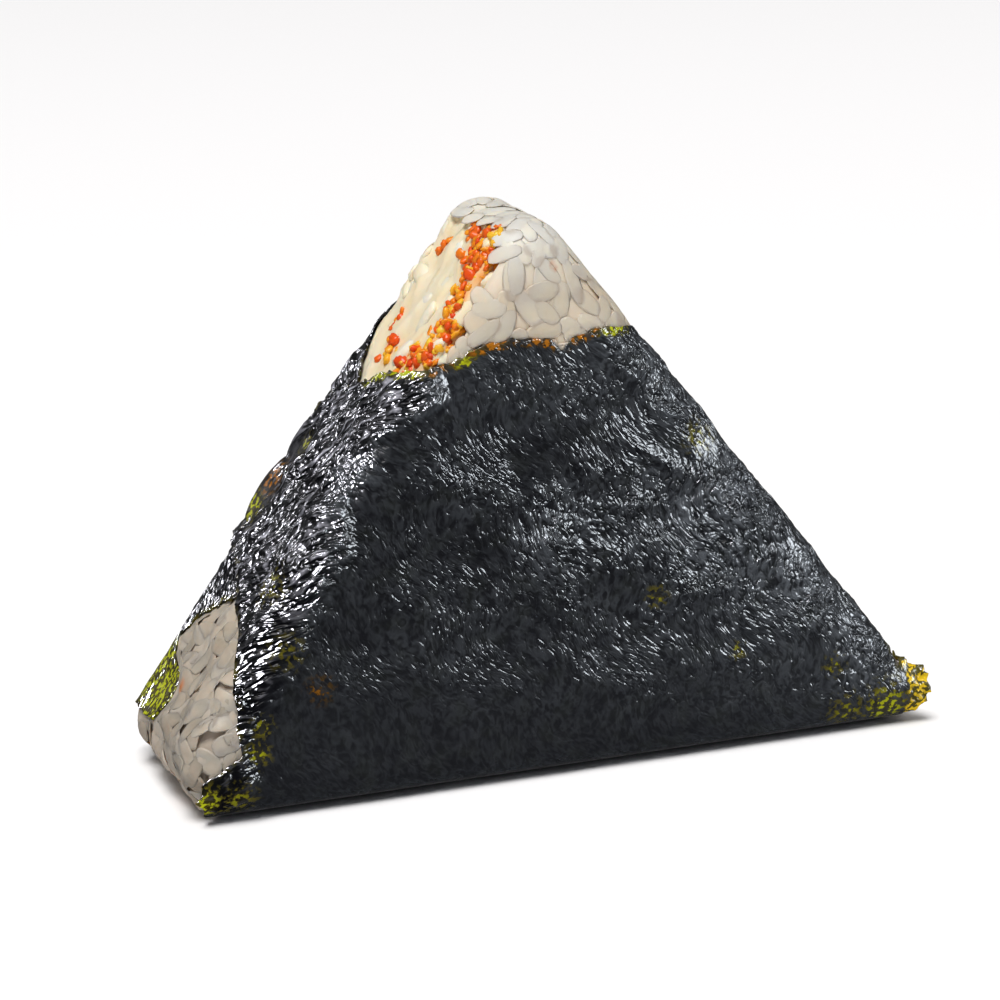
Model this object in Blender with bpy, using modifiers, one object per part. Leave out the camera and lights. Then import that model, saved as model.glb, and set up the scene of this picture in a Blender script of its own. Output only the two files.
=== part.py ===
"""Onigiri: a triangular ball of pressed rice with a salad filling in its left side, wrapped in nori.

The ball stands on its base. X runs along the base, to the right as the front is seen. The front
faces -Y, and +Z is up. The origin is the middle of the base, at the level of the table. Metres.
"""
import math

import bmesh
import bpy
from mathutils import Vector

# ---------------------------------------------------------------- driving dimensions
BASE_WIDTH = 0.104          # between the corners the base would have if they were sharp
HEIGHT = 0.0714             # from the table to the tip the ball would have if it were sharp
DEPTH_BASE = 0.0322         # front to back at the table
DEPTH_TIP = 0.0234          # front to back at the sharp tip: both faces lean in
EDGE_RADIUS = 0.0046        # rounding between a face and a narrow side, over the nori
TIP_RADIUS = 0.0059         # rounding of the top corner, seen from the front
LEFT_RADIUS = 0.0070        # rounding of the bottom left corner
RIGHT_RADIUS = 0.0048       # rounding of the bottom right corner

NORI_THICKNESS = 0.0004
GAP = 0.0003                # clearance between any two layers
LAYER = NORI_THICKNESS + GAP
GRAIN_RELIEF = 0.00035      # unevenness of the bare rice
GRAIN_PITCH = 0.0075
BARE_HEIGHT = 0.0572        # above this height no nori covers the rice
BARE_RAMP = 0.0030          # the pressed rice swells to bare rice over this distance

# The strip's straight edges where it starts up a face, and where it runs under the base.
STRIP = {"left": (-0.0446, -0.0412), "right": (0.0462, 0.0440)}
TEAR = 0.0006               # how ragged the strip's top edges are
TEAR_PITCH = 0.0043
TEAR_ROWS = 3               # grid rows over which the ragged edge fades out
NOTCH_X = 0.0032            # a small tear in the front's top edge
NOTCH_DEPTH = 0.0018
NOTCH_WIDTH = 0.0016

# The loose end of the left flap stands off the back left edge in two lobes: where each starts and
# ends along the slanted side, and how far it stands off.
LOBES = ((0.0365, 0.0455, 0.0011), (0.0455, 0.0505, 0.0007))
EAR_COLUMNS = 3             # the crumpled corner of the strip at the bottom right, in grid columns
EAR_ROWS = 3
EAR_REACH = 0.0030          # how far it stands out to the right
EAR_TOP = 0.0128            # where it ends, along the slanted side
EAR_CRUMPLE = 0.0006

FILLING_FROM = 0.0400       # the filling's ends, along the left slanted side
FILLING_TO = 0.0824
FILLING_DEPTH = 0.0110      # how far it reaches into the ball at its bottom end
FILLING_DEPTH_TOP = 0.0030  # and at its top end
FILLING_WALL = 0.0013       # rice in front of and behind the filling, at its mouth
FILLING_TAPER = 0.0045      # how much narrower the filling is at its bottom, on each side
FILLING_SUNK = 0.0003       # how far its face lies under the pressed rice
FILLING_LUMPS = 0.0005
LUMP_PITCH = 0.0081
END_ROUNDING = 0.12         # how much narrower the filling is at its two ends
# How far up the left slanted side the nori covers the filling, from the front edge to the back.
FILLING_COVER = [(-0.0115, 0.0655), (0.0030, 0.0570), (0.0110, 0.0705)]

# ---------------------------------------------------------------- grid counts
ARC_STEPS = 4
SIDE_STEPS = 7
FACE_STEPS = 12
BASE_STEPS = 3
CENTRE_STEPS = 14
CORNER_STEPS = 5
SLOPE_POINTS = 12
FOOT_POINTS = 12
FILLING_CUTS = 9

# ---------------------------------------------------------------- the pressed rice under the nori
LEAN = (DEPTH_BASE - DEPTH_TIP) / 2 / HEIGHT
SLOPE = math.atan2(HEIGHT, BASE_WIDTH / 2)
ALONG = Vector((math.cos(SLOPE), math.sin(SLOPE)))      # up the left slanted side, in (x, z)
INWARD = Vector((math.sin(SLOPE), -math.cos(SLOPE)))    # from the left slanted side into the ball
CORE_EDGE = EDGE_RADIUS - LAYER
SIDE_INSET = 2 * LAYER                                  # two flaps of nori lie on a narrow side
FACE_TO_MIDDLE = (0, 0.16, 0.40, 0.70)                  # rings of each face, from its rim inward

# Where each flap of nori ends on the slanted side. The first number counts across the narrow side
# from the face that the flap comes from: 0 to 1 is the near rounded edge, 1 to 2 the flat side and
# 2 to 3 the far rounded edge. The second is the distance up the slanted side, in metres.
FLAPS = {
    ("front", "left"): {
        "low": [(0, 0.0140), (1.1, 0.0256), (1.4, 0.0288), (2, 0.0330), (2.6, 0.0345)],
        "high": [(0, 0.0702), (0.5, 0.0646), (1.2, 0.0611), (1.8, 0.0565), (2.6, 0.0495)],
        "layer": 1, "reach": 2.6, "first_row": 1,
    },
    ("back", "left"): {
        "low": [(0, 0.0096), (1, 0.0098), (1.14, 0.0180), (1.28, 0.0262), (1.6, 0.0295), (2, 0.0360)],
        "high": [(0, 0.0722), (0.7, 0.0690), (1.3, 0.0570), (2, 0.0530)],
        "layer": 0, "reach": 2, "first_row": 0,
    },
    ("front", "right"): {
        "low": [(0, 0.0096), (0.6, 0.0100), (1, 0.0165), (1.5, 0.0270), (2, 0.0350), (2.6, 0.0400)],
        "high": [(0, 0.0707), (0.4, 0.0684), (1, 0.0640), (1.5, 0.0590), (2, 0.0535), (2.6, 0.0500)],
        "layer": 1, "reach": 2.6, "first_row": 0,
    },
    ("back", "right"): {
        "low": [(0, 0.0120), (1, 0.0225), (1.5, 0.0290), (2, 0.0360)],
        "high": [(0, 0.0718), (1, 0.0660), (1.5, 0.0600), (2, 0.0545)],
        "layer": 0, "reach": 2, "first_row": 1,
    },
}


# ---------------------------------------------------------------- small helpers
def clear_scene():
    for obj in list(bpy.data.objects):
        bpy.data.objects.remove(obj, do_unlink=True)


def make_collection(name):
    collection = bpy.data.collections.new(name)
    bpy.context.scene.collection.children.link(collection)
    return collection


def make_material(name, color, roughness):
    material = bpy.data.materials.new(name)
    material.use_nodes = True
    shader = material.node_tree.nodes["Principled BSDF"]
    shader.inputs["Base Color"].default_value = (*color, 1)
    shader.inputs["Roughness"].default_value = roughness
    shader.inputs["Metallic"].default_value = 0
    return material


def make_object(name, bm, collection, material=None):
    mesh = bpy.data.meshes.new(name)
    bm.normal_update()
    bmesh.ops.recalc_face_normals(bm, faces=bm.faces)
    bm.to_mesh(mesh)
    bm.free()
    if material:
        mesh.materials.append(material)
    obj = bpy.data.objects.new(name, mesh)
    collection.objects.link(obj)
    return obj


def smoothstep(low, high, value):
    part = min(max((value - low) / (high - low), 0), 1)
    return part * part * (3 - 2 * part)


def between(points, value):
    """Straight-line value at `value` in a list of (position, value) pairs."""
    for (low, low_value), (high, high_value) in zip(points, points[1:]):
        if value <= high:
            part = max((value - low) / (high - low), 0)
            return low_value + part * (high_value - low_value)
    return points[-1][1]


def waves(point, pitch):
    """Smooth unevenness from -1 to 1, with bumps about `pitch` apart."""
    turn = 2 * math.pi / pitch
    total = math.sin(turn * (point.x + 0.37 * point.z))
    total += math.sin(turn * (0.83 * point.y - 0.56 * point.x) + 1.3)
    total += math.sin(turn * (0.91 * point.z + 0.42 * point.y) + 2.6)
    return total / 3


def half_depth(z):
    """Half the depth of the pressed rice at height z."""
    return DEPTH_BASE / 2 - LEAN * z - LAYER


def side_point(along, inset, side):
    """(x, z) of the point `along` a slanted side of the pressed rice and `inset` into it."""
    place = Vector((-BASE_WIDTH / 2, 0)) + ALONG * along + INWARD * (SIDE_INSET + inset)
    return Vector((place.x if side == "left" else -place.x, place.y))


# ---------------------------------------------------------------- rice
def rounded_triangle(inset):
    """Outline of the pressed rice in (x, z), moved in by `inset`, with an arc at each corner."""
    side_in = SIDE_INSET + inset
    base_in = LAYER + inset
    foot_x = BASE_WIDTH / 2 - side_in / math.sin(SLOPE) - base_in / math.tan(SLOPE)
    left = Vector((-foot_x, base_in))
    right = Vector((foot_x, base_in))
    tip = Vector((0, HEIGHT - side_in / math.cos(SLOPE)))
    corners = (
        (right, left, tip, RIGHT_RADIUS, SLOPE_POINTS),
        (tip, right, left, TIP_RADIUS, SLOPE_POINTS),
        (left, tip, right, LEFT_RADIUS, FOOT_POINTS),
    )
    arcs = []
    for corner, before, after, outer_radius, _ in corners:
        radius = max(outer_radius - SIDE_INSET - inset, NORI_THICKNESS)
        to_before = (before - corner).normalized()
        to_after = (after - corner).normalized()
        half = to_before.angle(to_after) / 2
        middle = corner + (to_before + to_after).normalized() * (radius / math.sin(half))
        arm = corner + to_before * (radius / math.tan(half)) - middle
        turn = (math.pi - 2 * half) / CORNER_STEPS
        arc = []
        for step in range(CORNER_STEPS + 1):
            cos, sin = math.cos(turn * step), math.sin(turn * step)
            arc.append(middle + Vector((arm.x * cos - arm.y * sin, arm.x * sin + arm.y * cos)))
        arcs.append(arc)
    outline = []
    for index, arc in enumerate(arcs):
        outline += arc
        following = arcs[(index + 1) % 3][0]
        count = corners[index][4]
        outline += [arc[-1].lerp(following, step / count) for step in range(1, count)]
    return outline


def swell(point, normal):
    """How far bare rice stands out past the rice that the nori presses on."""
    top = smoothstep(BARE_HEIGHT, BARE_HEIGHT + BARE_RAMP, point.z)
    foot = smoothstep(-STRIP["left"][0] + GAP, -STRIP["left"][0] + BARE_RAMP, -point.x)
    bare = max(top, foot) * smoothstep(LAYER, 4 * LAYER, point.z)
    rise = LAYER * (2 - abs(normal.y))
    return bare * (rise + GRAIN_RELIEF * waves(point, GRAIN_PITCH))


def build_rice(collection, material):
    """A stack of outlines from the middle of the back to the middle of the front."""
    centre = Vector((0, HEIGHT * 0.34))
    stations = [(share, CORE_EDGE, 0) for share in reversed(FACE_TO_MIDDLE)]
    for step in range(1, ARC_STEPS + 1):
        angle = math.pi / 2 * step / ARC_STEPS
        stations.append((0, CORE_EDGE * (1 - math.sin(angle)), CORE_EDGE * (1 - math.cos(angle))))
    bm = bmesh.new()
    rings = []
    for face, order in ((1, stations), (-1, reversed(stations))):
        for share, inset, inner in order:
            ring = []
            for place in rounded_triangle(inset):
                place = place.lerp(centre, share)
                ring.append(bm.verts.new((place.x, face * (half_depth(place.y) - inner), place.y)))
            rings.append(ring)
    middle_row = len(stations)
    count = len(rings[0])
    middle = []
    for back, front in zip(rings[middle_row - 1], rings[middle_row]):
        middle.append(bm.verts.new((back.co + front.co) / 2))
    rings.insert(middle_row, middle)
    for ring, following in zip(rings, rings[1:]):
        for index in range(count):
            after = (index + 1) % count
            bm.faces.new((ring[index], ring[after], following[after], following[index]))
    for ring, face in ((rings[0], 1), (rings[-1], -1)):
        hub = bm.verts.new((centre.x, face * half_depth(centre.y), centre.y))
        for index in range(count):
            bm.faces.new((ring[index], ring[(index + 1) % count], hub))
    bmesh.ops.recalc_face_normals(bm, faces=bm.faces)
    bm.normal_update()
    moves = [(vert, vert.normal * swell(vert.co, vert.normal)) for vert in bm.verts]
    for vert, move in moves:
        vert.co += move
    return make_object("rice", bm, collection, material)


# ---------------------------------------------------------------- filling
def rim_inset(from_middle, z):
    """How far the rounded edge of the rice drops below the flat of a narrow side."""
    over = abs(from_middle) - (half_depth(z) - CORE_EDGE)
    if over <= 0:
        return 0
    return CORE_EDGE - math.sqrt(max(CORE_EDGE ** 2 - over ** 2, 0))


def filling_point(corner, margin, mouth):
    """Place of a point of a unit cube in the filling, which is `margin` larger on its hidden sides.

    The cube's x runs up the slanted side, y across it and z from the mouth into the ball. A `mouth`
    above 0 carries the open side that far out of the ball.
    """
    up, across, into = corner.x + 0.5, corner.y * 2, corner.z + 0.5
    along = FILLING_FROM - margin + up * (FILLING_TO - FILLING_FROM + 2 * margin)
    depth = FILLING_DEPTH + up * (FILLING_DEPTH_TOP - FILLING_DEPTH) + margin
    z = side_point(along, 0, "left").y
    mouth_half = (half_depth(z) - FILLING_WALL) * (1 - END_ROUNDING * (2 * up - 1) ** 4)
    face = -mouth
    if not mouth:
        y = across * mouth_half
        bare_from = between(FILLING_COVER, y) + GAP
        out = SIDE_INSET * smoothstep(bare_from, bare_from + BARE_RAMP, along)
        lumps = FILLING_LUMPS * (1 + waves(Vector((along, y, 0)), LUMP_PITCH)) / 2
        face = FILLING_SUNK + rim_inset(y, z) + lumps - out
    inset = face + into * (depth - face)
    half = mouth_half - FILLING_TAPER * (max(inset, 0) / depth) ** 2 + margin
    place = side_point(along, inset, "left")
    return Vector((place.x, across * half, place.y))


def build_filling(name, collection, material=None, margin=0, mouth=0):
    bm = bmesh.new()
    bmesh.ops.create_cube(bm, size=1)
    bmesh.ops.subdivide_edges(bm, edges=bm.edges, cuts=FILLING_CUTS, use_grid_fill=True)
    for vert in bm.verts:
        vert.co = filling_point(vert.co, margin, mouth)
    return make_object(name, bm, collection, material)


def cut_pocket(rice, cutters):
    pocket = build_filling("filling_pocket", cutters, margin=GAP, mouth=EDGE_RADIUS)
    pocket.hide_render = True
    pocket.display_type = "WIRE"
    cut = rice.modifiers.new("filling_pocket", "BOOLEAN")
    cut.operation = "DIFFERENCE"
    cut.solver = "EXACT"
    cut.object = pocket


# ---------------------------------------------------------------- nori
def loose_lift(face, side, along, across):
    """Extra height of a flap where it stands off the ball."""
    lift = 0
    if (face, side) == ("front", "left"):
        for start, end, height in LOBES:
            turn = (along - start) / (end - start)
            if 0 < turn < 1:
                lift = height * smoothstep(1.6, 2.5, across) * math.sin(math.pi * turn) ** 0.6
    if (face, side) == ("front", "right"):
        near = smoothstep(EAR_TOP, FLAPS[face, side]["low"][0][1], along)
        lift = EAR_REACH * near * smoothstep(0, 0.5, across) * smoothstep(1.5, 0.75, across)
    return lift


def flap_point(face, side, along, across):
    """A point of the nori's outer surface where it bends round a narrow side."""
    flap = FLAPS[face, side]
    height = LAYER * (1 + flap["layer"] * smoothstep(0.1, 1, across))
    height += loose_lift(face, side, along, across)
    radius = CORE_EDGE + height
    if across <= 1:
        angle = math.pi / 2 * across
        inset = CORE_EDGE - radius * math.sin(angle)
    elif across <= 2:
        inset = -height
    else:
        angle = math.pi / 2 * (across - 2)
        inset = CORE_EDGE - radius * math.cos(angle)
    place = side_point(along, inset, side)
    half = half_depth(place.y)
    if across <= 1:
        y = half - CORE_EDGE + radius * math.cos(angle)
    elif across <= 2:
        y = (half - CORE_EDGE) * (3 - 2 * across)
    else:
        y = -(half - CORE_EDGE + radius * math.sin(angle))
    return Vector((place.x, -y if face == "front" else y, place.y))


def flap_along(flap, row, across):
    """Distance up the slanted side of a grid row of a flap."""
    share = (row - flap["first_row"]) / (FACE_STEPS - flap["first_row"])
    low = between(flap["low"], across)
    high = between(flap["high"], across)
    return low + share * (high - low)


def torn_edge(x, row):
    """How far the top edge of the strip is from straight, fading out below it."""
    fade = max(0, 1 - (FACE_STEPS - row) / TEAR_ROWS)
    notch = NOTCH_DEPTH * max(0, 1 - abs(x - NOTCH_X) / NOTCH_WIDTH)
    return fade * (TEAR * math.sin(2 * math.pi * x / TEAR_PITCH) - notch)


def strip_point(face, row, share):
    """A point of the strip's outer surface between its flaps; `share` runs from left to right.

    Rows below 0 lie on the base and on its rounded edge. A share above 1 is in the ear.
    """
    ends = []
    for side in ("left", "right"):
        flap = FLAPS[face, side]
        if row < flap["first_row"]:
            under = smoothstep(0, -ARC_STEPS, row) if face == "front" or side == "right" else 1
            edge, under_edge = STRIP[side]
            ends.append(Vector((edge + under * (under_edge - edge), LAYER + CORE_EDGE)))
        else:
            ends.append(side_point(flap_along(flap, row, 0), CORE_EDGE, side))
    place = ends[0].lerp(ends[1], share)
    if row >= 0:
        if 0 < share < 1:
            place.y += torn_edge(place.x, row)
        y = half_depth(place.y) + LAYER
        z = place.y
    else:
        half = half_depth(LAYER + CORE_EDGE) - CORE_EDGE
        if row >= -ARC_STEPS:
            angle = math.pi / 2 * (row + ARC_STEPS) / ARC_STEPS
            y = half + EDGE_RADIUS * math.sin(angle)
            z = EDGE_RADIUS * (1 - math.cos(angle))
        else:
            y = half * (row + ARC_STEPS + BASE_STEPS) / BASE_STEPS
            z = 0
    return Vector((place.x, -y if face == "front" else y, z))


def ear_point(row, column):
    """A point of the crumpled corner, which carries the strip's front edge on past its right edge."""
    out = column / EAR_COLUMNS
    place = strip_point("front", row, 1)
    crumple = EAR_CRUMPLE * (-1) ** (row + column) * out
    place.x += EAR_REACH * out * (1 + 0.2 * (-1) ** row)
    place.y += crumple
    place.z += 2 * EAR_CRUMPLE * out
    return place


def flap_stations(reach):
    """The places across a narrow side where the flap's grid has a line."""
    places = [step / ARC_STEPS for step in range(1, ARC_STEPS + 1)]
    places += [1 + step / SIDE_STEPS for step in range(1, SIDE_STEPS + 1)]
    places += [2 + step / ARC_STEPS for step in range(1, ARC_STEPS + 1)]
    return [place for place in places if place <= reach]


def build_nori(collection, material):
    """One sheet: under the base, up both faces, and round both narrow sides as four flaps."""
    bm = bmesh.new()
    under = ARC_STEPS + BASE_STEPS
    grid = {}
    for face, sign in (("back", -1), ("front", 1)):
        for row in range(-under, FACE_STEPS + 1):
            line = sign * (row + under)
            if (line, 0) not in grid:
                for column in range(CENTRE_STEPS + 1):
                    grid[line, column] = bm.verts.new(strip_point(face, row, column / CENTRE_STEPS))
            for side in ("left", "right"):
                flap = FLAPS[face, side]
                if row < flap["first_row"]:
                    continue
                for step, across in enumerate(flap_stations(flap["reach"]), 1):
                    column = -step if side == "left" else CENTRE_STEPS + step
                    along = flap_along(flap, row, across)
                    grid[line, column] = bm.verts.new(flap_point(face, side, along, across))
            if face == "front" and -EAR_ROWS <= row < 0:
                for column in range(1, EAR_COLUMNS + 1):
                    grid[line, CENTRE_STEPS + column] = bm.verts.new(ear_point(row, column))
    for line, column in grid:
        corners = [(line, column), (line, column + 1), (line + 1, column + 1), (line + 1, column)]
        if all(corner in grid for corner in corners):
            bm.faces.new([grid[corner] for corner in corners])
    nori = make_object("nori", bm, collection, material)
    if nori.data.polygons[0].normal.y < 0:
        nori.data.flip_normals()
    shell = nori.modifiers.new("thickness", "SOLIDIFY")
    shell.thickness = NORI_THICKNESS
    shell.offset = -1
    return nori


def main():
    clear_scene()
    parts = make_collection("onigiri")
    cutters = make_collection("cutters")
    rice = build_rice(parts, make_material("pressed_rice", (0.58, 0.50, 0.41), 0.45))
    cut_pocket(rice, cutters)
    build_filling("filling", parts, make_material("salad_filling", (0.86, 0.68, 0.45), 0.4))
    build_nori(parts, make_material("nori_sheet", (0.022, 0.022, 0.027), 0.35))
    for obj in parts.objects:
        obj.data.shade_smooth()
        obj.data.set_sharp_from_angle(angle=math.radians(40))


main()
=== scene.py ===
# %% [markdown]
# # An onigiri dressed on its frame
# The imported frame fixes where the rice, the filling and the nori are. The frame's own solids are plain:
# this lesson puts a crinkled sheet, real grains and a real salad in their place, piece by piece.

# %% Load the frame
import bpy
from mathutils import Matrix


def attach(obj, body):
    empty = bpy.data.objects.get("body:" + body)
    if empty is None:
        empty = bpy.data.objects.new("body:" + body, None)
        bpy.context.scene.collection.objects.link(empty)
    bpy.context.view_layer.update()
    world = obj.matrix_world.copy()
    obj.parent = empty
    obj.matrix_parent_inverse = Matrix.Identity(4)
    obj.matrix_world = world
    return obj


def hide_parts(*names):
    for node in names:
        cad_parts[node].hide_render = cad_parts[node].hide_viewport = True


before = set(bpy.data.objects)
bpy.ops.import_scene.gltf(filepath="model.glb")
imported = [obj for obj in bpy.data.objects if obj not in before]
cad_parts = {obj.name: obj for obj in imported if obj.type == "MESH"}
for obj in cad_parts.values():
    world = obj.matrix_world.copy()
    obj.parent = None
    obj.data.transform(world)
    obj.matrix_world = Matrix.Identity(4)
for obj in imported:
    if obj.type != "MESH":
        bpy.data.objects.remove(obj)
bpy.context.view_layer.update()

# %% [markdown]
# ## Helpers
# Meshes are made and read as whole arrays, because a sheet of nori has a hundred thousand corners.
# Node trees for shapes and for finishes are both built by the same short function, `add`, which
# makes a node and fills its sockets with numbers or with links.

# %% Arrays in and out of meshes
import math

import numpy as np
from mathutils import Matrix, Vector
from mathutils.bvhtree import BVHTree
from mathutils.kdtree import KDTree


def new_piece(name, points, faces):
    mesh = bpy.data.meshes.new(name)
    mesh.from_pydata([tuple(point) for point in points], [], [tuple(face) for face in faces])
    piece = bpy.data.objects.new(name, mesh)
    bpy.context.scene.collection.objects.link(piece)
    return piece


def get_points(piece):
    flat = np.empty(len(piece.data.vertices) * 3, np.float32)
    piece.data.vertices.foreach_get("co", flat)
    return flat.reshape(-1, 3).astype(float)


def set_points(piece, points):
    piece.data.vertices.foreach_set("co", np.asarray(points, np.float32).ravel())
    piece.data.update()


def paint(piece, name, values):
    """Stores one number or one vector for each corner, for node trees to read."""
    values = np.asarray(values, np.float32)
    kind, field = (("FLOAT", "value"), ("FLOAT_VECTOR", "vector"))[values.ndim - 1]
    piece.data.attributes.new(name, kind, "POINT").data.foreach_set(field, values.ravel())


def smoothstep(low, high, value):
    part = np.clip((value - low) / (high - low), 0, 1)
    return part * part * (3 - 2 * part)


def ripples(points, pitch, seed):
    """Gentle unevenness from -1 to 1 that is the same each time."""
    random = np.random.default_rng(seed)
    total = np.zeros(len(points))
    for _ in range(5):
        way = random.normal(size=points.shape[1])
        total += np.sin(points @ way / np.linalg.norm(way) * 2 * math.pi / pitch + random.uniform(0, 6))
    return total / 5


# %% Node trees for shapes and finishes
def add(tree, kind, inputs=(), **settings):
    node = tree.nodes.new(kind)
    for name, value in settings.items():
        setattr(node, name, value)
    for socket, value in dict(inputs).items():
        if isinstance(value, bpy.types.NodeSocket):
            tree.links.new(value, node.inputs[socket])
        else:
            node.inputs[socket].default_value = value
    return node


def maths(tree, operation, *values):
    return add(tree, "ShaderNodeMath", enumerate(values), operation=operation).outputs[0]


def remap(tree, value, low, high, to_low=0.0, to_high=1.0):
    """Brings a value from one range to another, and holds it there."""
    ends = {"Value": value, "From Min": low, "From Max": high, "To Min": to_low, "To Max": to_high}
    return add(tree, "ShaderNodeMapRange", ends).outputs["Result"]


def noise(tree, vector, scale, detail=2.0, roughness=0.5, distortion=0.0):
    ends = {"Vector": vector, "Scale": scale, "Detail": detail, "Roughness": roughness,
            "Distortion": distortion}
    return add(tree, "ShaderNodeTexNoise", ends).outputs["Fac"]


def ridges(tree, value, width=0.5):
    """Turns a smooth noise into thin raised lines where it crosses its middle."""
    off_middle = maths(tree, "ABSOLUTE", maths(tree, "SUBTRACT", value, 0.5))
    return remap(tree, off_middle, width / 2, 0.0)


def new_shape_tree(name, inputs):
    tree = bpy.data.node_groups.new(name, "GeometryNodeTree")
    tree.interface.new_socket("Geometry", in_out="INPUT", socket_type="NodeSocketGeometry")
    for label, kind in inputs.items():
        tree.interface.new_socket(label, in_out="INPUT", socket_type="NodeSocket" + kind)
    tree.interface.new_socket("Geometry", in_out="OUTPUT", socket_type="NodeSocketGeometry")
    return tree, tree.nodes.new("NodeGroupInput").outputs


def end_tree(tree, geometry, material):
    """Every shape tree ends in real geometry with its material."""
    real = add(tree, "GeometryNodeRealizeInstances", {"Geometry": geometry}).outputs[0]
    finished = add(tree, "GeometryNodeSetMaterial", {"Geometry": real, "Material": material})
    add(tree, "NodeGroupOutput", {0: finished.outputs[0]})


def run_tree(piece, tree, values):
    """Runs a shape tree on a piece and keeps the result as the piece's own plain mesh."""
    modifier = piece.modifiers.new(tree.name, "NODES")
    modifier.node_group = tree
    for socket in tree.interface.items_tree:
        if socket.in_out == "INPUT" and socket.name in values:
            modifier[socket.identifier] = values[socket.name]
    keep_result(piece)


def keep_result(piece):
    """Makes what a piece's modifiers show its own plain mesh."""
    seen = piece.evaluated_get(bpy.context.evaluated_depsgraph_get())
    mesh = bpy.data.meshes.new_from_object(seen)
    piece.modifiers.clear()
    piece.data = mesh
    mesh.name = piece.name


def report(piece):
    low, high = get_points(piece).min(0) * 1000, get_points(piece).max(0) * 1000
    triangles = sum(len(face.vertices) - 2 for face in piece.data.polygons)
    print(f"{piece.name}: {triangles} triangles, from {low.round(1)} to {high.round(1)} mm")


# %% [markdown]
# ## The pressed form
# A triangular onigiri is rice pressed in a mould: two leaning faces, two slanted narrow sides and a
# base, with every edge rounded. All pieces meet on this form, so it comes first, as a few sizes and
# as a function that says how far any point is outside it. A distance is handy: grains can be pressed
# against it, and the food can be kept under the nori.

# %% Sizes of the pressed form
BASE_WIDTH = 0.104
HEIGHT = 0.0714
DEPTH_BASE = 0.0322
DEPTH_TIP = 0.0234
LAYER = 0.0007
EDGE_RADIUS = 0.0046
CORE_EDGE = EDGE_RADIUS - LAYER
SIDE_INSET = 2 * LAYER
LEAN = (DEPTH_BASE - DEPTH_TIP) / 2 / HEIGHT
SLOPE = math.atan2(HEIGHT, BASE_WIDTH / 2)
ALONG = np.array((math.cos(SLOPE), math.sin(SLOPE)))
INWARD = np.array((math.sin(SLOPE), -math.cos(SLOPE)))
CORNER_RADII = {"left": 0.0070, "right": 0.0048, "tip": 0.0059}
print(f"the narrow sides slope at {math.degrees(SLOPE):.1f} degrees")


# %% Places on the pressed form
def half_depth(z):
    return DEPTH_BASE / 2 - LEAN * z - LAYER


def side_point(along, inset, side):
    """(x, z) of a point so far up a slanted side and so far into it."""
    x = -BASE_WIDTH / 2 + ALONG[0] * along + INWARD[0] * (SIDE_INSET + inset)
    z = ALONG[1] * along + INWARD[1] * (SIDE_INSET + inset)
    return (x if side == "left" else -x), z


def side_place(x, z, side):
    """How far up a slanted side and how far into it a point (x, z) is."""
    from_foot = (x if side == "left" else -x) + BASE_WIDTH / 2
    along = from_foot * ALONG[0] + z * ALONG[1]
    return along, from_foot * INWARD[0] + z * INWARD[1] - SIDE_INSET


def corner_arcs():
    """Centre, radius and the two directions along the edges, for each corner of the triangle."""
    foot = BASE_WIDTH / 2 - SIDE_INSET / INWARD[0] - LAYER * ALONG[0] / ALONG[1]
    corners = {"left": np.array((-foot, LAYER)), "right": np.array((foot, LAYER)),
               "tip": np.array((0, HEIGHT - SIDE_INSET / ALONG[0]))}
    arcs = {}
    for name, corner in corners.items():
        others = [other for key, other in corners.items() if key != name]
        ways = [(other - corner) / np.linalg.norm(other - corner) for other in others]
        radius = CORNER_RADII[name] - SIDE_INSET
        half = math.acos(ways[0] @ ways[1]) / 2
        middle = ways[0] + ways[1]
        centre = corner + middle / np.linalg.norm(middle) * radius / math.sin(half)
        arcs[name] = (centre, radius, ways)
    return arcs


ARCS = corner_arcs()


def distance_out(points):
    """How far points are outside the pressed rice; negative inside."""
    x, y, z = points.T
    flat = np.maximum(-side_place(x, z, "left")[1], -side_place(x, z, "right")[1])
    flat = np.maximum(flat, LAYER - z)
    for centre, radius, ways in ARCS.values():
        arm = np.stack((x, z), -1) - centre
        in_corner = (arm @ ways[0] < 0) & (arm @ ways[1] < 0)
        flat = np.where(in_corner, np.hypot(*arm.T) - radius, flat)
    side = flat + CORE_EDGE
    face = np.abs(y) - half_depth(z) + CORE_EDGE
    corner = np.hypot(np.maximum(side, 0), np.maximum(face, 0))
    return np.minimum(np.maximum(side, face), 0) + corner - CORE_EDGE


def direction_out(points, step=0.00005):
    """Unit vectors straight out of the pressed rice."""
    slopes = []
    for axis in np.eye(3) * step:
        slopes.append(distance_out(points + axis) - distance_out(points - axis))
    out = np.stack(slopes, -1)
    return out / np.maximum(np.linalg.norm(out, axis=1, keepdims=True), 1e-12)


print("distance of the ball's middle:", distance_out(np.array([[0, 0, HEIGHT / 3]])).round(4))

# %% [markdown]
# ## The nori
# Nori is one dry sheet: it runs under the base, up both faces, and its loose ends fold round the two
# narrow sides as flaps. It could be modelled on the ball, but a torn and folded sheet is easier to
# make as it is made in a kitchen: cut flat, then folded. So each half is cut from a grid of small
# triangles along a ragged outline, folded by a function, and then crinkled by Geometry Nodes.
# Each corner keeps its place on the flat sheet, so that the finish follows the sheet and not space.

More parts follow.
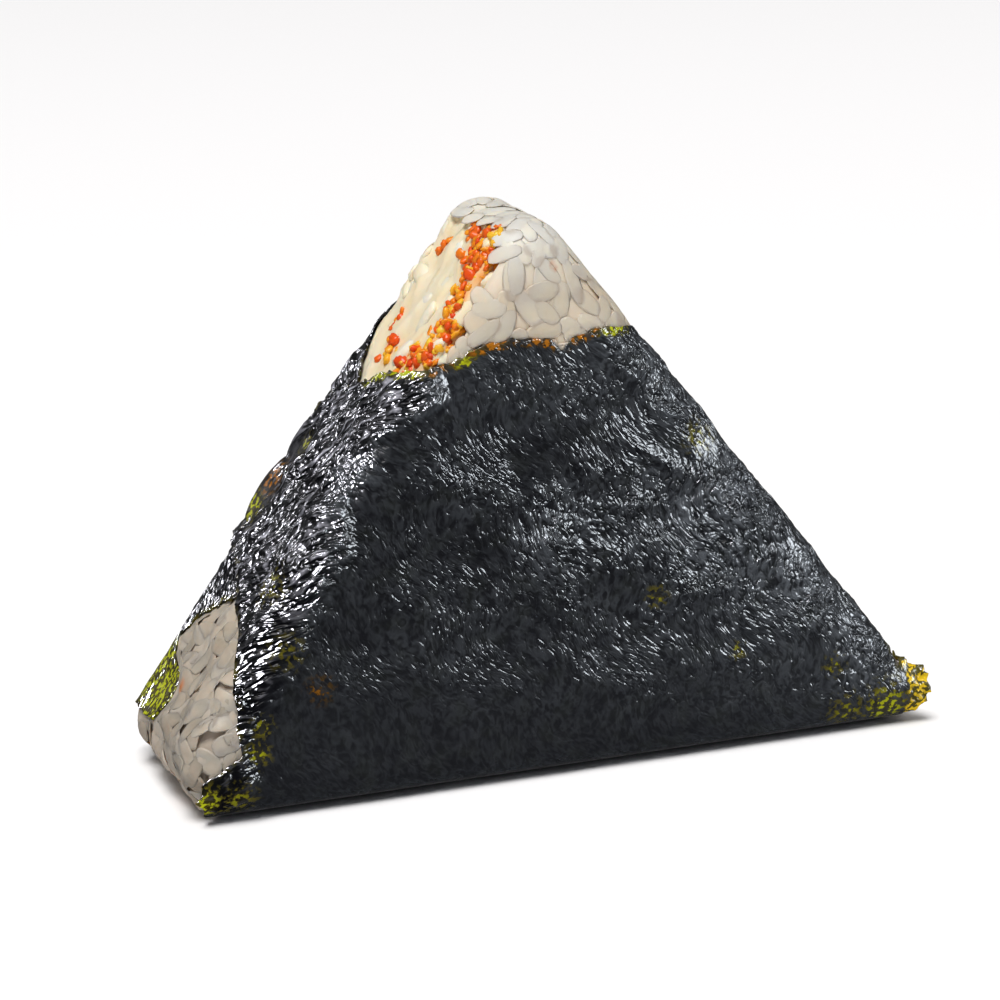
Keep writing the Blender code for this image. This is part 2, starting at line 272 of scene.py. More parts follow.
# %% Where each flap ends
# The first number of each pair counts across a narrow side, from the face that the flap comes from:
# 0 to 1 is the near rounded edge, 1 to 2 the flat side, 2 to 3 the far rounded edge. The second is
# how far up the slanted side.
FLAPS = {
    ("front", "left"): {
        "low": [(0, 0.0140), (1.1, 0.0256), (1.4, 0.0288), (2, 0.0330), (2.6, 0.0345)],
        "high": [(0, 0.0702), (0.5, 0.0646), (1.2, 0.0611), (1.8, 0.0565), (2.6, 0.0495)],
        "layer": 1, "loose": 0.0040,
    },
    ("back", "left"): {
        "low": [(0, 0.0096), (1, 0.0094), (1.32, 0.0098), (1.40, 0.0128), (1.36, 0.0160), (1.05, 0.0178),
                (1.02, 0.0205), (1.12, 0.0235), (1.28, 0.0262), (1.6, 0.0295), (2, 0.0360)],
        "high": [(0, 0.0722), (0.7, 0.0690), (1.3, 0.0570), (2, 0.0530)],
        "layer": 0, "loose": 0.0010,
    },
    ("front", "right"): {
        "low": [(0.6, 0.0100), (1, 0.0165), (1.5, 0.0270), (2, 0.0350), (2.6, 0.0400)],
        "high": [(0, 0.0707), (0.4, 0.0684), (1, 0.0640), (1.5, 0.0590), (2, 0.0535), (2.6, 0.0500)],
        "layer": 1, "loose": 0.0050,
    },
    ("back", "right"): {
        "low": [(0, 0.0120), (1, 0.0225), (1.5, 0.0290), (2, 0.0360)],
        "high": [(0, 0.0718), (1, 0.0660), (1.5, 0.0600), (2, 0.0545)],
        "layer": 0, "loose": 0.0030,
    },
}
STRIP = {"left": (-0.0446, -0.0412), "right": (0.0462, 0.0440)}
FLAP_STEP = 0.0006
TIP = ((-0.0440, -0.0036), (-0.0443, -0.0024), (-0.0456, -0.0014), (-0.0447, -0.0006), (-0.0446, 0.0008))
EAR = ((0.0478, 0.0046), (0.0492, 0.0020), (0.0490, -0.0012), (0.0474, -0.0030))
NOTCH = ((0.0017, 0), (0.0024, 0.0012), (0.0031, 0.0019), (0.0037, 0.0011), (0.0044, 0))
LOBES = ((0.0365, 0.0455, 0.0011), (0.0455, 0.0505, 0.0007))
BASE_HALF = half_depth(EDGE_RADIUS) - CORE_EDGE
QUARTER = math.pi / 2 * EDGE_RADIUS
FACE_START = BASE_HALF + QUARTER
print(f"the sheet leaves the base {BASE_HALF * 1000:.1f} mm from its middle line")


def across_width(along, side):
    """Width of the flat part of a narrow side."""
    return 2 * (half_depth(side_point(along, 0, side)[1]) - CORE_EDGE)


def flat_place(across, along, side):
    """Place on the flat sheet of a point of a flap."""
    past = QUARTER * (min(across, 1) + max(across - 2, 0))
    past += across_width(along, side) * min(max(across - 1, 0), 1)
    x, z = side_point(along, CORE_EDGE - past, side)
    return x, z - EDGE_RADIUS + FACE_START


# %% Folding the sheet round the ball
def flap_places(face, side, along, past):
    """Places on the ball of sheet that has gone `past` the start of a rounded edge."""
    width = across_width(along, side)
    across = np.clip(past / QUARTER, 0, 1) + np.clip((past - QUARTER) / width, 0, 1)
    across += np.maximum(past - QUARTER - width, 0) / QUARTER
    height = LAYER * (1 + FLAPS[face, side]["layer"] * smoothstep(0.1, 1, across))
    if (face, side) == ("front", "left"):
        for start, end, lift in LOBES:
            turn = np.clip((along - start) / (end - start), 0, 1)
            height += lift * smoothstep(1.6, 2.5, across) * np.sin(math.pi * turn) ** 0.6
    radius = CORE_EDGE + height
    near = math.pi / 2 * np.clip(across, 0, 1)
    far = math.pi / 2 * np.maximum(across - 2, 0)
    inset = np.select([across <= 1, across <= 2],
                      [CORE_EDGE - radius * np.sin(near), -height], CORE_EDGE - radius * np.cos(far))
    x, z = side_point(along, inset, side)
    flat_half = half_depth(z) - CORE_EDGE
    y = np.select([across <= 1, across <= 2],
                  [flat_half + radius * np.cos(near), flat_half * (3 - 2 * across)],
                  -flat_half - radius * np.sin(far))
    return np.stack((x, y, z), -1)


def fold(flat, face):
    """Places on the ball of points of the flat sheet, before it is crinkled."""
    u, v = flat.T
    z = v - FACE_START + EDGE_RADIUS
    under = v < FACE_START
    turn = np.clip((v - BASE_HALF) / EDGE_RADIUS, 0, math.pi / 2)
    y_under = np.minimum(v, BASE_HALF) + EDGE_RADIUS * np.sin(turn)
    z_under = EDGE_RADIUS * (1 - np.cos(turn))
    places = np.stack((u, np.where(under, y_under, half_depth(z) + LAYER),
                       np.where(under, z_under, z)), -1)
    for side in ("left", "right"):
        along, inset = side_place(u, z, side)
        wraps = (inset < CORE_EDGE) & ~under
        folded = flap_places(face, side, along[wraps], CORE_EDGE - inset[wraps])
        share = smoothstep(0, FLAPS[face, side]["loose"], v[wraps] - FACE_START)[:, None]
        places[wraps] += share * (folded - places[wraps])
    if face == "front":
        places[:, 1] *= -1
    return places


# %% A ragged outline
def ragged_line(length, pitches, seed):
    """Uneven values along a line, as a sum of jagged waves of several pitches."""
    random = np.random.default_rng(seed)
    total = np.zeros_like(length)
    for pitch, share in pitches:
        knots = random.uniform(-1, 1, int(length[-1] / pitch) + 2)
        total += share * np.interp(length / pitch, np.arange(len(knots)), knots)
    return total


def flap_line(face, side, end):
    """Evenly spaced corners along one end of a flap, each with how ragged it is."""
    line = np.array(FLAPS[face, side][end])
    length = np.append(0, np.cumsum(np.hypot(np.diff(line[:, 0]) * QUARTER, np.diff(line[:, 1]))))
    at = np.append(np.arange(0, length[-1], FLAP_STEP), length[-1])
    ragged = {"low": 0.00028, "high": 0.00045}[end]
    across, along = (np.interp(at, length, column) for column in line.T)
    return [(*flat_place(a, t, side), ragged) for a, t in zip(across, along)]


def sheet_outline(face):
    """Corners of half of the flat sheet, each with how ragged the cut is there, in metres."""
    corners = [(STRIP["left"][1], 0, 0), (STRIP["left"][1], BASE_HALF, 0.0002)]
    if face == "front":
        corners += [(u, FACE_START + up, 0.0003) for u, up in TIP]
    else:
        corners += [(STRIP["left"][1], FACE_START - 0.0010, 0.0003)]
    corners += flap_line(face, "left", "low") + flap_line(face, "left", "high")[::-1]
    if face == "front":
        top = corners[-1][1]
        corners += [(u, top - depth, 0.0003) for u, depth in NOTCH]
    corners += flap_line(face, "right", "high") + flap_line(face, "right", "low")[::-1]
    if face == "front":
        corners += [(u, FACE_START + up, 0.0009) for u, up in EAR]
        corners += [(0.0458, BASE_HALF + 0.0020, 0.0003)]
    else:
        corners += [(STRIP["right"][0], FACE_START, 0.0003)]
    corners += [(STRIP["right"][1], BASE_HALF, 0.0002), (STRIP["right"][1], 0, 0)]
    return np.array(corners)


def tear(corners, seed, step=0.00006):
    """Walks round an outline and makes it ragged."""
    closed = np.vstack((corners, corners[:1]))
    length = np.append(0, np.cumsum(np.hypot(*np.diff(closed[:, :2], axis=0).T)))
    at = np.arange(0, length[-1], step)
    u, v, ragged = (np.interp(at, length, column) for column in closed.T)
    normal = np.stack((np.gradient(v), -np.gradient(u)), -1)
    normal /= np.maximum(np.linalg.norm(normal, axis=1, keepdims=True), 1e-12)
    jag = ragged_line(at, ((0.0047, 0.9), (0.0019, 0.7), (0.0008, 0.5), (0.0004, 0.3)), seed)
    return np.stack((u, v), -1) + normal * (ragged * jag)[:, None]


# %% Cutting a sheet of small triangles
def triangle_grid(low, high, pitch):
    rise = pitch * math.sqrt(3) / 2
    rows = int((high[1] - low[1]) / rise) + 3
    columns = int((high[0] - low[0]) / pitch) + 3
    row, column = np.mgrid[0:rows, 0:columns]
    points = np.stack((low[0] + (column + row % 2 / 2 - 1) * pitch, low[1] + row * rise), -1)
    number = row * columns + column
    a, b = number[:-1, :-1], number[:-1, 1:]
    c, d = number[1:, :-1], number[1:, 1:]
    odd = (row[:-1, :-1] % 2 == 1)[..., None]
    first = np.where(odd, np.stack((a, b, d), -1), np.stack((a, b, c), -1))
    second = np.where(odd, np.stack((a, d, c), -1), np.stack((b, d, c), -1))
    return points.reshape(-1, 2), np.concatenate((first, second)).reshape(-1, 3)


def inside(points, outline):
    """Which points an outline holds, by counting how often it crosses the level of each."""
    x, y = points.T
    held = np.zeros(len(points), bool)
    for (x0, y0), (x1, y1) in zip(outline, np.roll(outline, -1, axis=0)):
        if y0 != y1:
            held ^= ((y0 > y) != (y1 > y)) & (x < x0 + (y - y0) * (x1 - x0) / (y1 - y0))
    return held


def cut_sheet(outline, pitch):
    """Flat triangles inside an outline, whose rim lies on it, and each point's distance from it."""
    points, faces = triangle_grid(outline.min(0), outline.max(0), pitch)
    tree = KDTree(len(outline))
    for number, (u, v) in enumerate(outline):
        tree.insert((u, v, 0), number)
    tree.balance()
    found = [tree.find((u, v, 0)) for u, v in points]
    nearest = np.array([item[1] for item in found])
    distance = np.array([item[2] for item in found])
    held = inside(points, outline[::3]) & (distance > 0.3 * pitch)
    kept = faces[held[faces].any(axis=1)]
    points = np.where(held[:, None], points, outline[nearest])
    used, numbers = np.unique(kept, return_inverse=True)
    return points[used], numbers.reshape(-1, 3), np.where(held, distance, 0)[used]


# %% Cut and fold both halves
SHEET_PITCH = {"front": 0.00042, "back": 0.00050}
FOLD_ANGLE = {"left": math.radians(20), "right": math.radians(-62)}
FOLD_STRETCH = {"left": 3.0, "right": 1.65}
WANDER = 0.0015
WANDER_PITCH = 0.0130
FOLD_LINE = ((0.0090, -0.0365), (0.0150, -0.0330), (0.0225, -0.0290), (0.0300, -0.0245),
             (0.0410, -0.0239), (0.0472, -0.0118))
FOLDS = (((-0.0118, 0.0472), (-0.0215, 0.0430), 0.0010, 0.00026),
         ((-0.0436, 0.0062), (-0.0364, 0.0044), 0.0006, 0.00060),
         ((-0.0330, 0.0290), (-0.0250, 0.0260), 0.0007, 0.00030),
         ((0.0080, 0.0420), (0.0210, 0.0330), 0.0009, 0.00030),
         ((-0.0040, 0.0300), (0.0100, 0.0270), 0.0009, 0.00025))


def streak_places(flat, angle, stretch):
    """The sheet's own coordinates, in millimetres, turned along its streaks and shortened there."""
    wander = [WANDER * ripples(flat, WANDER_PITCH, seed) for seed in (7, 8)]
    u, v = (flat.T + wander) * 1000
    along = (u * math.cos(angle) + v * math.sin(angle)) / stretch
    return np.stack((along, v * math.cos(angle) - u * math.sin(angle), np.zeros_like(u)), -1)


def near_spots(flat, spots):
    """Soft round spots, each a place on the flat sheet, a radius and a strength."""
    total = np.zeros(len(flat))
    for place, radius, strength in spots:
        away = np.hypot(*(flat - np.array(place)).T) / radius
        total = np.maximum(total, strength * np.exp(-away ** 2))
    return total


LOOSE_LOBES = ((flat_place(2.02, 0.0405, "left"), 0.0044, 1.1), (flat_place(2.02, 0.0468, "left"), 0.0036, 1.1),
               (flat_place(2.6, 0.0430, "left"), 0.0060, 1.0))


def on_face(x, z):
    """Place on the flat sheet of a point of a wide face."""
    return x, z - EDGE_RADIUS + FACE_START


# Zones of stronger wrinkles; the nori's finish also paints more grey-blue sheen where they lie.
WORKED_ZONES = ((on_face(0.0015, 0.0300), 0.0050, 0.50), (on_face(0.0110, 0.0310), 0.0060, 0.45),
                (on_face(0.0240, 0.0290), 0.0085, 0.88), (on_face(0.0340, 0.0200), 0.0065, 0.70),
                (on_face(0.0410, 0.0090), 0.0050, 0.70), (on_face(-0.0100, 0.0380), 0.0060, 0.12),
                (on_face(0.0150, 0.0400), 0.0080, 0.16), (on_face(0.0070, 0.0470), 0.0050, 0.12),
                (on_face(-0.0225, 0.0405), 0.0022, 0.60), (on_face(-0.0120, 0.0180), 0.0060, 0.07), (on_face(0.0100, 0.0160), 0.0090, 0.08))


def past_fold_line(flat):
    """How far left of the line that the sheet's left fold has pulled, in metres."""
    up = flat[:, 1] - FACE_START + EDGE_RADIUS
    return np.interp(up, *zip(*FOLD_LINE)) - flat[:, 0]


def worked(flat, face):
    """How much each place of the sheet has shrunk and wrinkled; 1 is a strong wrinkle."""
    u, up = flat[:, 0], flat[:, 1] - FACE_START
    left = 1.2 * smoothstep(-0.0012, 0.0016, past_fold_line(flat))
    left *= 0.62 + 0.38 * smoothstep(0.016, 0.028, up)
    inset = side_place(u, up + EDGE_RADIUS, "right")[1]
    right = np.maximum(0.10 + near_spots(flat, WORKED_ZONES), 0.60 * smoothstep(0.0065, 0.0015, inset))
    low = 0.15 + 0.85 * smoothstep(0.0005, 0.0110, up + 0.15 * u)
    low = np.maximum(low, 0.8 * smoothstep(0.0, 0.0030, past_fold_line(flat)))
    calm = near_spots(flat, LOOSE_LOBES) if face == "front" else 0
    return np.maximum(left, right) * low * (1 - 0.9 * np.minimum(calm, 1))


def fold_height(flat):
    """Height of the folds that run across the front, as rounded ridges, in metres."""
    total = np.zeros(len(flat))
    for start, end, width, height in FOLDS:
        start, end = np.array(on_face(*start)), np.array(on_face(*end))
        way = end - start
        share = np.clip((flat - start) @ way / (way @ way), 0, 1)
        away = np.hypot(*(flat - start - share[:, None] * way).T) / width
        total = np.maximum(total, height * np.exp(-away ** 2) * (1 - (2 * share - 1) ** 4))
    return total


# Painted light coming through the sheet, laid into its colour: yellow-green where it is thin, amber
# along the top edge.
PAINTED_LIGHT_THROUGH = {
    "front": {
        "lime": [(on_face(-0.0366, 0.0114), 0.0016, 0.55), (on_face(-0.0374, 0.0082), 0.0018, 0.60),
                 (on_face(-0.0349, 0.0280), 0.0030, 0.50), (on_face(-0.0330, 0.0200), 0.0026, 0.40),
                 (on_face(-0.0440, 0.0030), 0.0024, 0.8), (on_face(-0.0400, 0.0030), 0.0026, 0.5),
                 (on_face(0.0435, 0.0026), 0.0036, 0.7), (on_face(0.0380, 0.0026), 0.0030, 0.5),
                 (on_face(0.0364, 0.0091), 0.0016, 0.55), (on_face(0.0134, 0.0208), 0.0016, 0.50),
                 (on_face(0.0236, 0.0127), 0.0012, 0.55), (on_face(0.0200, 0.0396), 0.0024, 0.50),
                 (flat_place(2.10, 0.0385, "left"), 0.0028, 0.80),
                 (flat_place(1.85, 0.0480, "left"), 0.0018, 0.62)],
        "lime rim": [(flat_place(0.2, 0.0680, "left"), 0.0026, 1.5),
                     (flat_place(0.9, 0.0626, "left"), 0.0030, 1.5),
                     (flat_place(1.3, 0.0602, "left"), 0.0030, 1.5), (on_face(0.0095, 0.0538), 0.0026, 1.2)],
        "amber": [(on_face(-0.0293, 0.0150), 0.0019, 0.55), (flat_place(2.00, 0.0425, "left"), 0.0028, 0.80)],
        "amber rim": [(on_face(-0.0120, 0.0505), 0.0024, 0.8), (on_face(-0.0058, 0.0536), 0.0030, 1.1),
                      (on_face(0.0002, 0.0536), 0.0022, 1.2), (on_face(0.0058, 0.0538), 0.0022, 1.0)],
    },
    "back": {
        "lime": [(flat_place(1.20, 0.0130, "left"), 0.0042, 1.4), (flat_place(0.7, 0.0125, "left"), 0.0034, 1.6),
                 (flat_place(0.9, 0.0160, "left"), 0.0030, 1.3)],
        "lime rim": [(flat_place(1.2, 0.0290, "left"), 0.0040, 0.8)],
        "amber": [],
        "amber rim": [(on_face(0.0, 0.0545), 0.0030, 0.7)],
    },
}

sheets = {}
for seed, face in enumerate(("front", "back")):
    outline = tear(sheet_outline(face), 40 + seed)
    flat, faces, rim = cut_sheet(outline, SHEET_PITCH[face])
    if face == "back":
        faces = faces[:, ::-1]
    sheet = new_piece(f"nori_{face}", fold(flat, face), faces)
    paint(sheet, "sheet", np.column_stack((flat * 1000, np.full(len(flat), 90.0 * seed))))
    for side in ("left", "right"):
        paint(sheet, f"streak_{side}", streak_places(flat, FOLD_ANGLE[side], FOLD_STRETCH[side]))
    paint(sheet, "leftness", smoothstep(-0.0020, 0.0040, past_fold_line(flat)))
    paint(sheet, "rim", rim * 1000)
    thin = np.minimum(near_spots(flat, PAINTED_LIGHT_THROUGH[face]["lime"]), 1)
    paint(sheet, "worked", worked(flat, face) * (1 - 0.6 * thin))
    # pale: a painted light lift of the nori's dark base colour, stronger at the foot, high on the front and to
    # the right.
    up = flat[:, 1] - FACE_START
    pale = 0.050 * smoothstep(0.026, 0.004, up) + 0.078 * smoothstep(0.034, 0.046, up)
    paint(sheet, "pale", pale + 0.044 + 0.045 * smoothstep(0.010, 0.034, flat[:, 0]))
    paint(sheet, "glaze", smoothstep(0.028, 0.020, up) * smoothstep(-0.0012, 0.0016, past_fold_line(flat)))
    paint(sheet, "folds", fold_height(flat) if face == "front" else 0 * rim)
    at_rim = smoothstep(0.0014, 0.0005, rim)
    for colour in ("lime", "amber"):
        spots = near_spots(flat, PAINTED_LIGHT_THROUGH[face][colour])
        paint(sheet, colour, np.maximum(spots, near_spots(flat, PAINTED_LIGHT_THROUGH[face][colour + " rim"]) * at_rim))
    held = smoothstep(BASE_HALF + 0.0010, FACE_START + 0.0040, flat[:, 1])
    paint(sheet, "free", held)
    ear = smoothstep(0.0452, 0.0475, flat[:, 0]) * smoothstep(0.0125, 0.0095, flat[:, 1] - FACE_START)
    paint(sheet, "ear", ear if face == "front" else 0 * ear)
    sheets[face] = sheet
    report(sheet)

# %% [markdown]
# ### Crinkles
# Nori shrinks as it meets the damp rice, and pulls into folds and fine crinkles. They could be
# sculpted, but a noise that is folded at its middle gives the sharp ridges and soft valleys of a dry
# sheet at once. Three sizes are added: wide swells, creases and small wrinkles. The creases are
# stretched along the way that the sheet was pulled.

# %% A shape tree for crinkles
tree, given = new_shape_tree("nori crinkles", {
    "Swell": "Float", "Crease": "Float", "Wrinkle": "Float", "Crumple": "Float", "Material": "Material"})


def painted(tree, name, kind="FLOAT"):
    return add(tree, "GeometryNodeInputNamedAttribute", {"Name": name}, data_type=kind).outputs[0]


places = painted(tree, "sheet", "FLOAT_VECTOR")
leftness = painted(tree, "leftness")


def both_ways(tree, leftness, left, right):
    """A pattern drawn along the left streaks and one along the right ones, each where it belongs."""
    return add(tree, "ShaderNodeMix", {0: leftness, 2: right, 3: left}).outputs[0]


def creases(streaks):
    wide = ridges(tree, noise(tree, streaks, 0.30, 1.0), 0.34)
    narrow = ridges(tree, noise(tree, streaks, 0.62, 1.5), 0.40)
    return maths(tree, "ADD", wide, maths(tree, "MULTIPLY", narrow, 0.5))


def wrinkles(streaks):
    return ridges(tree, noise(tree, streaks, 0.85, 1.5), 0.5)


along_left = painted(tree, "streak_left", "FLOAT_VECTOR")
along_right = painted(tree, "streak_right", "FLOAT_VECTOR")
swell = maths(tree, "MULTIPLY", maths(tree, "SUBTRACT", noise(tree, places, 0.11), 0.5), given["Swell"])
crease_size = remap(tree, noise(tree, places, 0.16), 0.35, 0.65, 0.35, 1.0)
crease_size = maths(tree, "MULTIPLY", crease_size, painted(tree, "worked"))
crease = both_ways(tree, leftness, creases(along_left), creases(along_right))
crease = maths(tree, "MULTIPLY", maths(tree, "MULTIPLY", crease, crease_size), given["Crease"])
wrinkle = both_ways(tree, leftness, wrinkles(along_left), wrinkles(along_right))
wrinkle = maths(tree, "MULTIPLY", maths(tree, "MULTIPLY", wrinkle, painted(tree, "worked")),
                given["Wrinkle"])
crumple = maths(tree, "SUBTRACT", noise(tree, places, 1.05, 3.0), 0.5)
crumple = maths(tree, "MULTIPLY", maths(tree, "MULTIPLY", crumple, painted(tree, "ear")),
                given["Crumple"])
height = maths(tree, "ADD", maths(tree, "ADD", swell, crease), maths(tree, "ADD", wrinkle, crumple))
height = maths(tree, "ADD", height, painted(tree, "folds"))
height = maths(tree, "MULTIPLY", height, painted(tree, "free"))
lift = add(tree, "ShaderNodeVectorMath", {0: tree.nodes.new("GeometryNodeInputNormal").outputs[0],
                                          "Scale": height}, operation="SCALE").outputs[0]
moved = add(tree, "GeometryNodeSetPosition", {"Geometry": given["Geometry"], "Offset": lift})
end_tree(tree, moved.outputs[0], given["Material"])
crinkles = tree
print("crinkle tree:", len(tree.nodes), "nodes")

# %% [markdown]
# ### The finish of nori
# Roasted nori is almost black, a little green or violet, and its fine wrinkles glint. Where it is
# thin or torn, light comes through it olive and gold, painted into its colour. A plain black would
# look like plastic: the colour, the roughness and the small bumps all come from noises that follow
# the sheet. Part of the glint is painted sheen too: grey-blue haze and lavender streaks in the colour.

# %% Nori material
def new_finish(name):
    material = bpy.data.materials.new(name)
    material.use_nodes = True
    return material, material.node_tree, material.node_tree.nodes["Principled BSDF"]


def stored(tree, name, output="Fac"):
    return add(tree, "ShaderNodeAttribute", attribute_name=name).outputs[output]


def blend(tree, share, first, second):
    return add(tree, "ShaderNodeMix", {0: share, 6: first, 7: second}, data_type="RGBA").outputs[2]


def bump(tree, height, distance, strength=1.0):
    return add(tree, "ShaderNodeBump", {"Height": height, "Distance": distance,
                                        "Strength": strength}).outputs[0]


NORI_DARK = (0.0030, 0.0030, 0.0046, 1)
NORI_GREEN = (0.0070, 0.0080, 0.0070, 1)
# Olive, lime, amber and gold paint light coming through the thin sheet (olive is partly its own colour at torn
# edges); the grey-blue and lavender are painted sheen.
NORI_OLIVE = (0.10, 0.085, 0.010, 1)
NORI_LIME = (0.48, 0.52, 0.010, 1)
NORI_AMBER = (0.40, 0.14, 0.008, 1)
NORI_PAINTED_HAZE_GREY = (0.115, 0.128, 0.145, 1)
NORI_PAINTED_SHEEN_LAVENDER = (0.48, 0.48, 0.55, 1)
NORI_GOLD = (0.80, 0.55, 0.02, 1)

nori_finish, tree, shader = new_finish("nori_sheet")
places = stored(tree, "sheet", "Vector")
colour = blend(tree, remap(tree, noise(tree, places, 0.35, 4.0), 0.48, 0.72), NORI_DARK, NORI_GREEN)
speckle = remap(tree, noise(tree, places, 1.3, 3.0), 0.49, 0.58)


def fine_wrinkles(streaks, scale, sharpness):
    soft = noise(tree, streaks, scale, 1.0, 0.5, 1.2)
    sharp = ridges(tree, noise(tree, streaks, scale * 0.65, 1.0, 0.5, 0.9), 0.36)
    return maths(tree, "ADD", soft, maths(tree, "MULTIPLY", sharp, sharpness))


leftness = stored(tree, "leftness")
fine = both_ways(tree, leftness,
                 fine_wrinkles(stored(tree, "streak_left", "Vector"), 1.00, 0.34),
                 fine_wrinkles(stored(tree, "streak_right", "Vector"), 1.25, 0.22))
rightness = maths(tree, "SUBTRACT", 1.0, leftness)
crests = remap(tree, fine, 0.48, 0.80, 0.06, 1.0)
# Painted sheen: a grey-blue haze painted into the base colour along the crests of the fine bump, stronger where
# the sheet is wrinkled, over a smooth painted light lift; only right of the fold line.
painted_haze = remap(tree, noise(tree, places, 0.16, 2.0), 0.35, 0.62, 0.55, 1.15)
painted_haze = maths(tree, "MULTIPLY", painted_haze, maths(tree, "ADD", stored(tree, "worked"), 0.05))
ground = maths(tree, "ADD", maths(tree, "MULTIPLY", crests, 0.6), 0.75)
ground = maths(tree, "MULTIPLY", stored(tree, "pale"), ground)
painted_haze = maths(tree, "ADD", maths(tree, "MULTIPLY", painted_haze, crests), ground)
painted_haze = maths(tree, "MULTIPLY", painted_haze, rightness)
colour = blend(tree, painted_haze, colour, NORI_PAINTED_HAZE_GREY)
# Painted highlight: lavender-white streaks painted into the base colour on the top crests of the fine bump on
# the left, in noisy patches, weaker where the sheet is glazed.
clumps = maths(tree, "MULTIPLY", maths(tree, "MULTIPLY", leftness, stored(tree, "worked")),
               remap(tree, noise(tree, places, 0.24, 2.0), 0.38, 0.60, 0.40, 1.10))
painted_sheen = maths(tree, "MULTIPLY", clumps, remap(tree, fine, 0.77, 1.00))
painted_sheen = maths(tree, "MULTIPLY", painted_sheen, remap(tree, stored(tree, "glaze"), 0.0, 1.0, 1.0, 0.35))
colour = blend(tree, painted_sheen, colour, NORI_PAINTED_SHEEN_LAVENDER)
# Olive along the torn edges: partly the thin edge's own colour, partly painted light coming through it.
rim = maths(tree, "MULTIPLY", remap(tree, stored(tree, "rim"), 0.8, 0.0),
            remap(tree, noise(tree, places, 0.45, 3.0), 0.48, 0.62))
colour = blend(tree, rim, colour, NORI_OLIVE)


def lit_through(colour, amount, thin, bright):
    """Painted light coming through the sheet: speckles of two colours, the brighter one where the amount is
    high.
    """
    share = maths(tree, "MULTIPLY", amount, maths(tree, "ADD", maths(tree, "MULTIPLY", speckle, 0.85), 0.32))
    colour = blend(tree, remap(tree, share, 0.12, 0.45), colour, thin)
    return blend(tree, remap(tree, share, 0.42, 0.85), colour, bright)


# Painted light through the sheet: olive and lime where it is thin, amber at the top edge, gold in the ear.
colour = lit_through(colour, stored(tree, "lime"), NORI_OLIVE, NORI_LIME)
colour = lit_through(colour, stored(tree, "amber"), (0.06, 0.032, 0.006, 1), NORI_AMBER)
colour = lit_through(colour, maths(tree, "MULTIPLY", stored(tree, "ear"), 1.25), NORI_OLIVE, NORI_GOLD)
tree.links.new(colour, shader.inputs["Base Color"])
rough = remap(tree, noise(tree, places, 0.5, 3.0), 0.35, 0.65, 0.17, 0.28)
rough = maths(tree, "SUBTRACT", rough, maths(tree, "MULTIPLY", stored(tree, "glaze"), 0.09))
tree.links.new(rough, shader.inputs["Roughness"])
patchy = remap(tree, noise(tree, places, 0.22, 2.0), 0.38, 0.60, 0.30, 1.0)
patchy = maths(tree, "MAXIMUM", patchy, clumps)
amount = maths(tree, "MULTIPLY", stored(tree, "worked"), patchy)
calmer = remap(tree, stored(tree, "lime"), 0.65, 0.95, 1.0, 0.70)
amount = maths(tree, "MULTIPLY", maths(tree, "ADD", amount, 0.04), calmer)
fine = maths(tree, "MULTIPLY", fine, amount)
tree.links.new(bump(tree, fine, 0.0014), shader.inputs["Normal"])
shader.inputs["Specular IOR Level"].default_value = 0.09

# %% Crinkle and thicken both halves
SHEET_THICKNESS = 0.00025
for face, sheet in sheets.items():
    run_tree(sheet, crinkles, {"Swell": 0.0009, "Crease": 0.00052, "Wrinkle": 0.00024,
                               "Crumple": 0.0048, "Material": nori_finish})
    points = get_points(sheet)
    points[:, 2] = np.maximum(points[:, 2], 0)
    set_points(sheet, points)
    thick = sheet.modifiers.new("thickness", "SOLIDIFY")
    thick.thickness = SHEET_THICKNESS
    thick.offset = -1
    keep_result(sheet)
    sheet.data.shade_smooth()
    report(sheet)

# %% [markdown]
# ## Food keeps under the nori
# Rice and salad swell where nothing holds them and stay low where the nori presses. Rather than
# placing each grain by hand, every soft piece is pressed: a ray from under the surface finds the
# nori, and no point may go past it. Away from the nori's edge the food may rise to the mould's wall.

# %% Room above the pressed form
nori_walls = []
for sheet in sheets.values():
    nori_walls.append(BVHTree.FromPolygons(get_points(sheet).tolist(),
                                           [tuple(face.vertices) for face in sheet.data.polygons]))
CLEARANCE = 0.00012
START_BELOW = 0.0010
EDGE_SLOPE = 0.8


def room_above(points, rise):
    """How far out the food may stand at each point, up to `rise`, and whether nori covers it."""
    out = direction_out(points)
    ground = points - out * distance_out(points)[:, None]
    room = np.array(rise, float)
    covered = np.zeros(len(points), bool)
    for number, (place, way) in enumerate(zip(ground, out)):
        start, way = Vector(place - way * START_BELOW), Vector(way)
        for wall in nori_walls:
            hit = wall.ray_cast(start, way, 0.006)[3]
            if hit is not None:
                covered[number] = True
                room[number] = min(room[number], hit - START_BELOW - CLEARANCE)
        gap = min(wall.find_nearest(start + way * START_BELOW, 0.004)[3] or 1 for wall in nori_walls)
        room[number] = min(room[number], EDGE_SLOPE * gap)
    return room, covered


def press(points, rise, give=0.0):
    """Presses points that stand out too far: bare ones give a little, covered ones don't."""
    room, covered = room_above(points, rise)
    over = np.maximum(distance_out(points) - room, 0)
    return points - direction_out(points) * (over * np.where(covered, 1, 1 - give))[:, None]


def mould_rise(points):
    """How far bare rice stands out: flush with the nori beside it."""
    return LAYER * (2 - np.abs(direction_out(points)[:, 1]))

# %% [markdown]
# ## The rice
# Cooked short grains, pressed until they stick: on a flat face they make a mosaic with thin dark
# gaps, and in the corners that the nori leaves bare they stay rounder. A bump map alone would look
# like plaster, so the bare places get real grains. Under them lies a plain core, a little smaller,
# that closes the gaps between grains.

# %% A stack of outlines for the core
CORE_SUNK = 0.0004
CORE_UNDER_GRAINS = 0.00004
OUTLINE_STEP = 0.00075


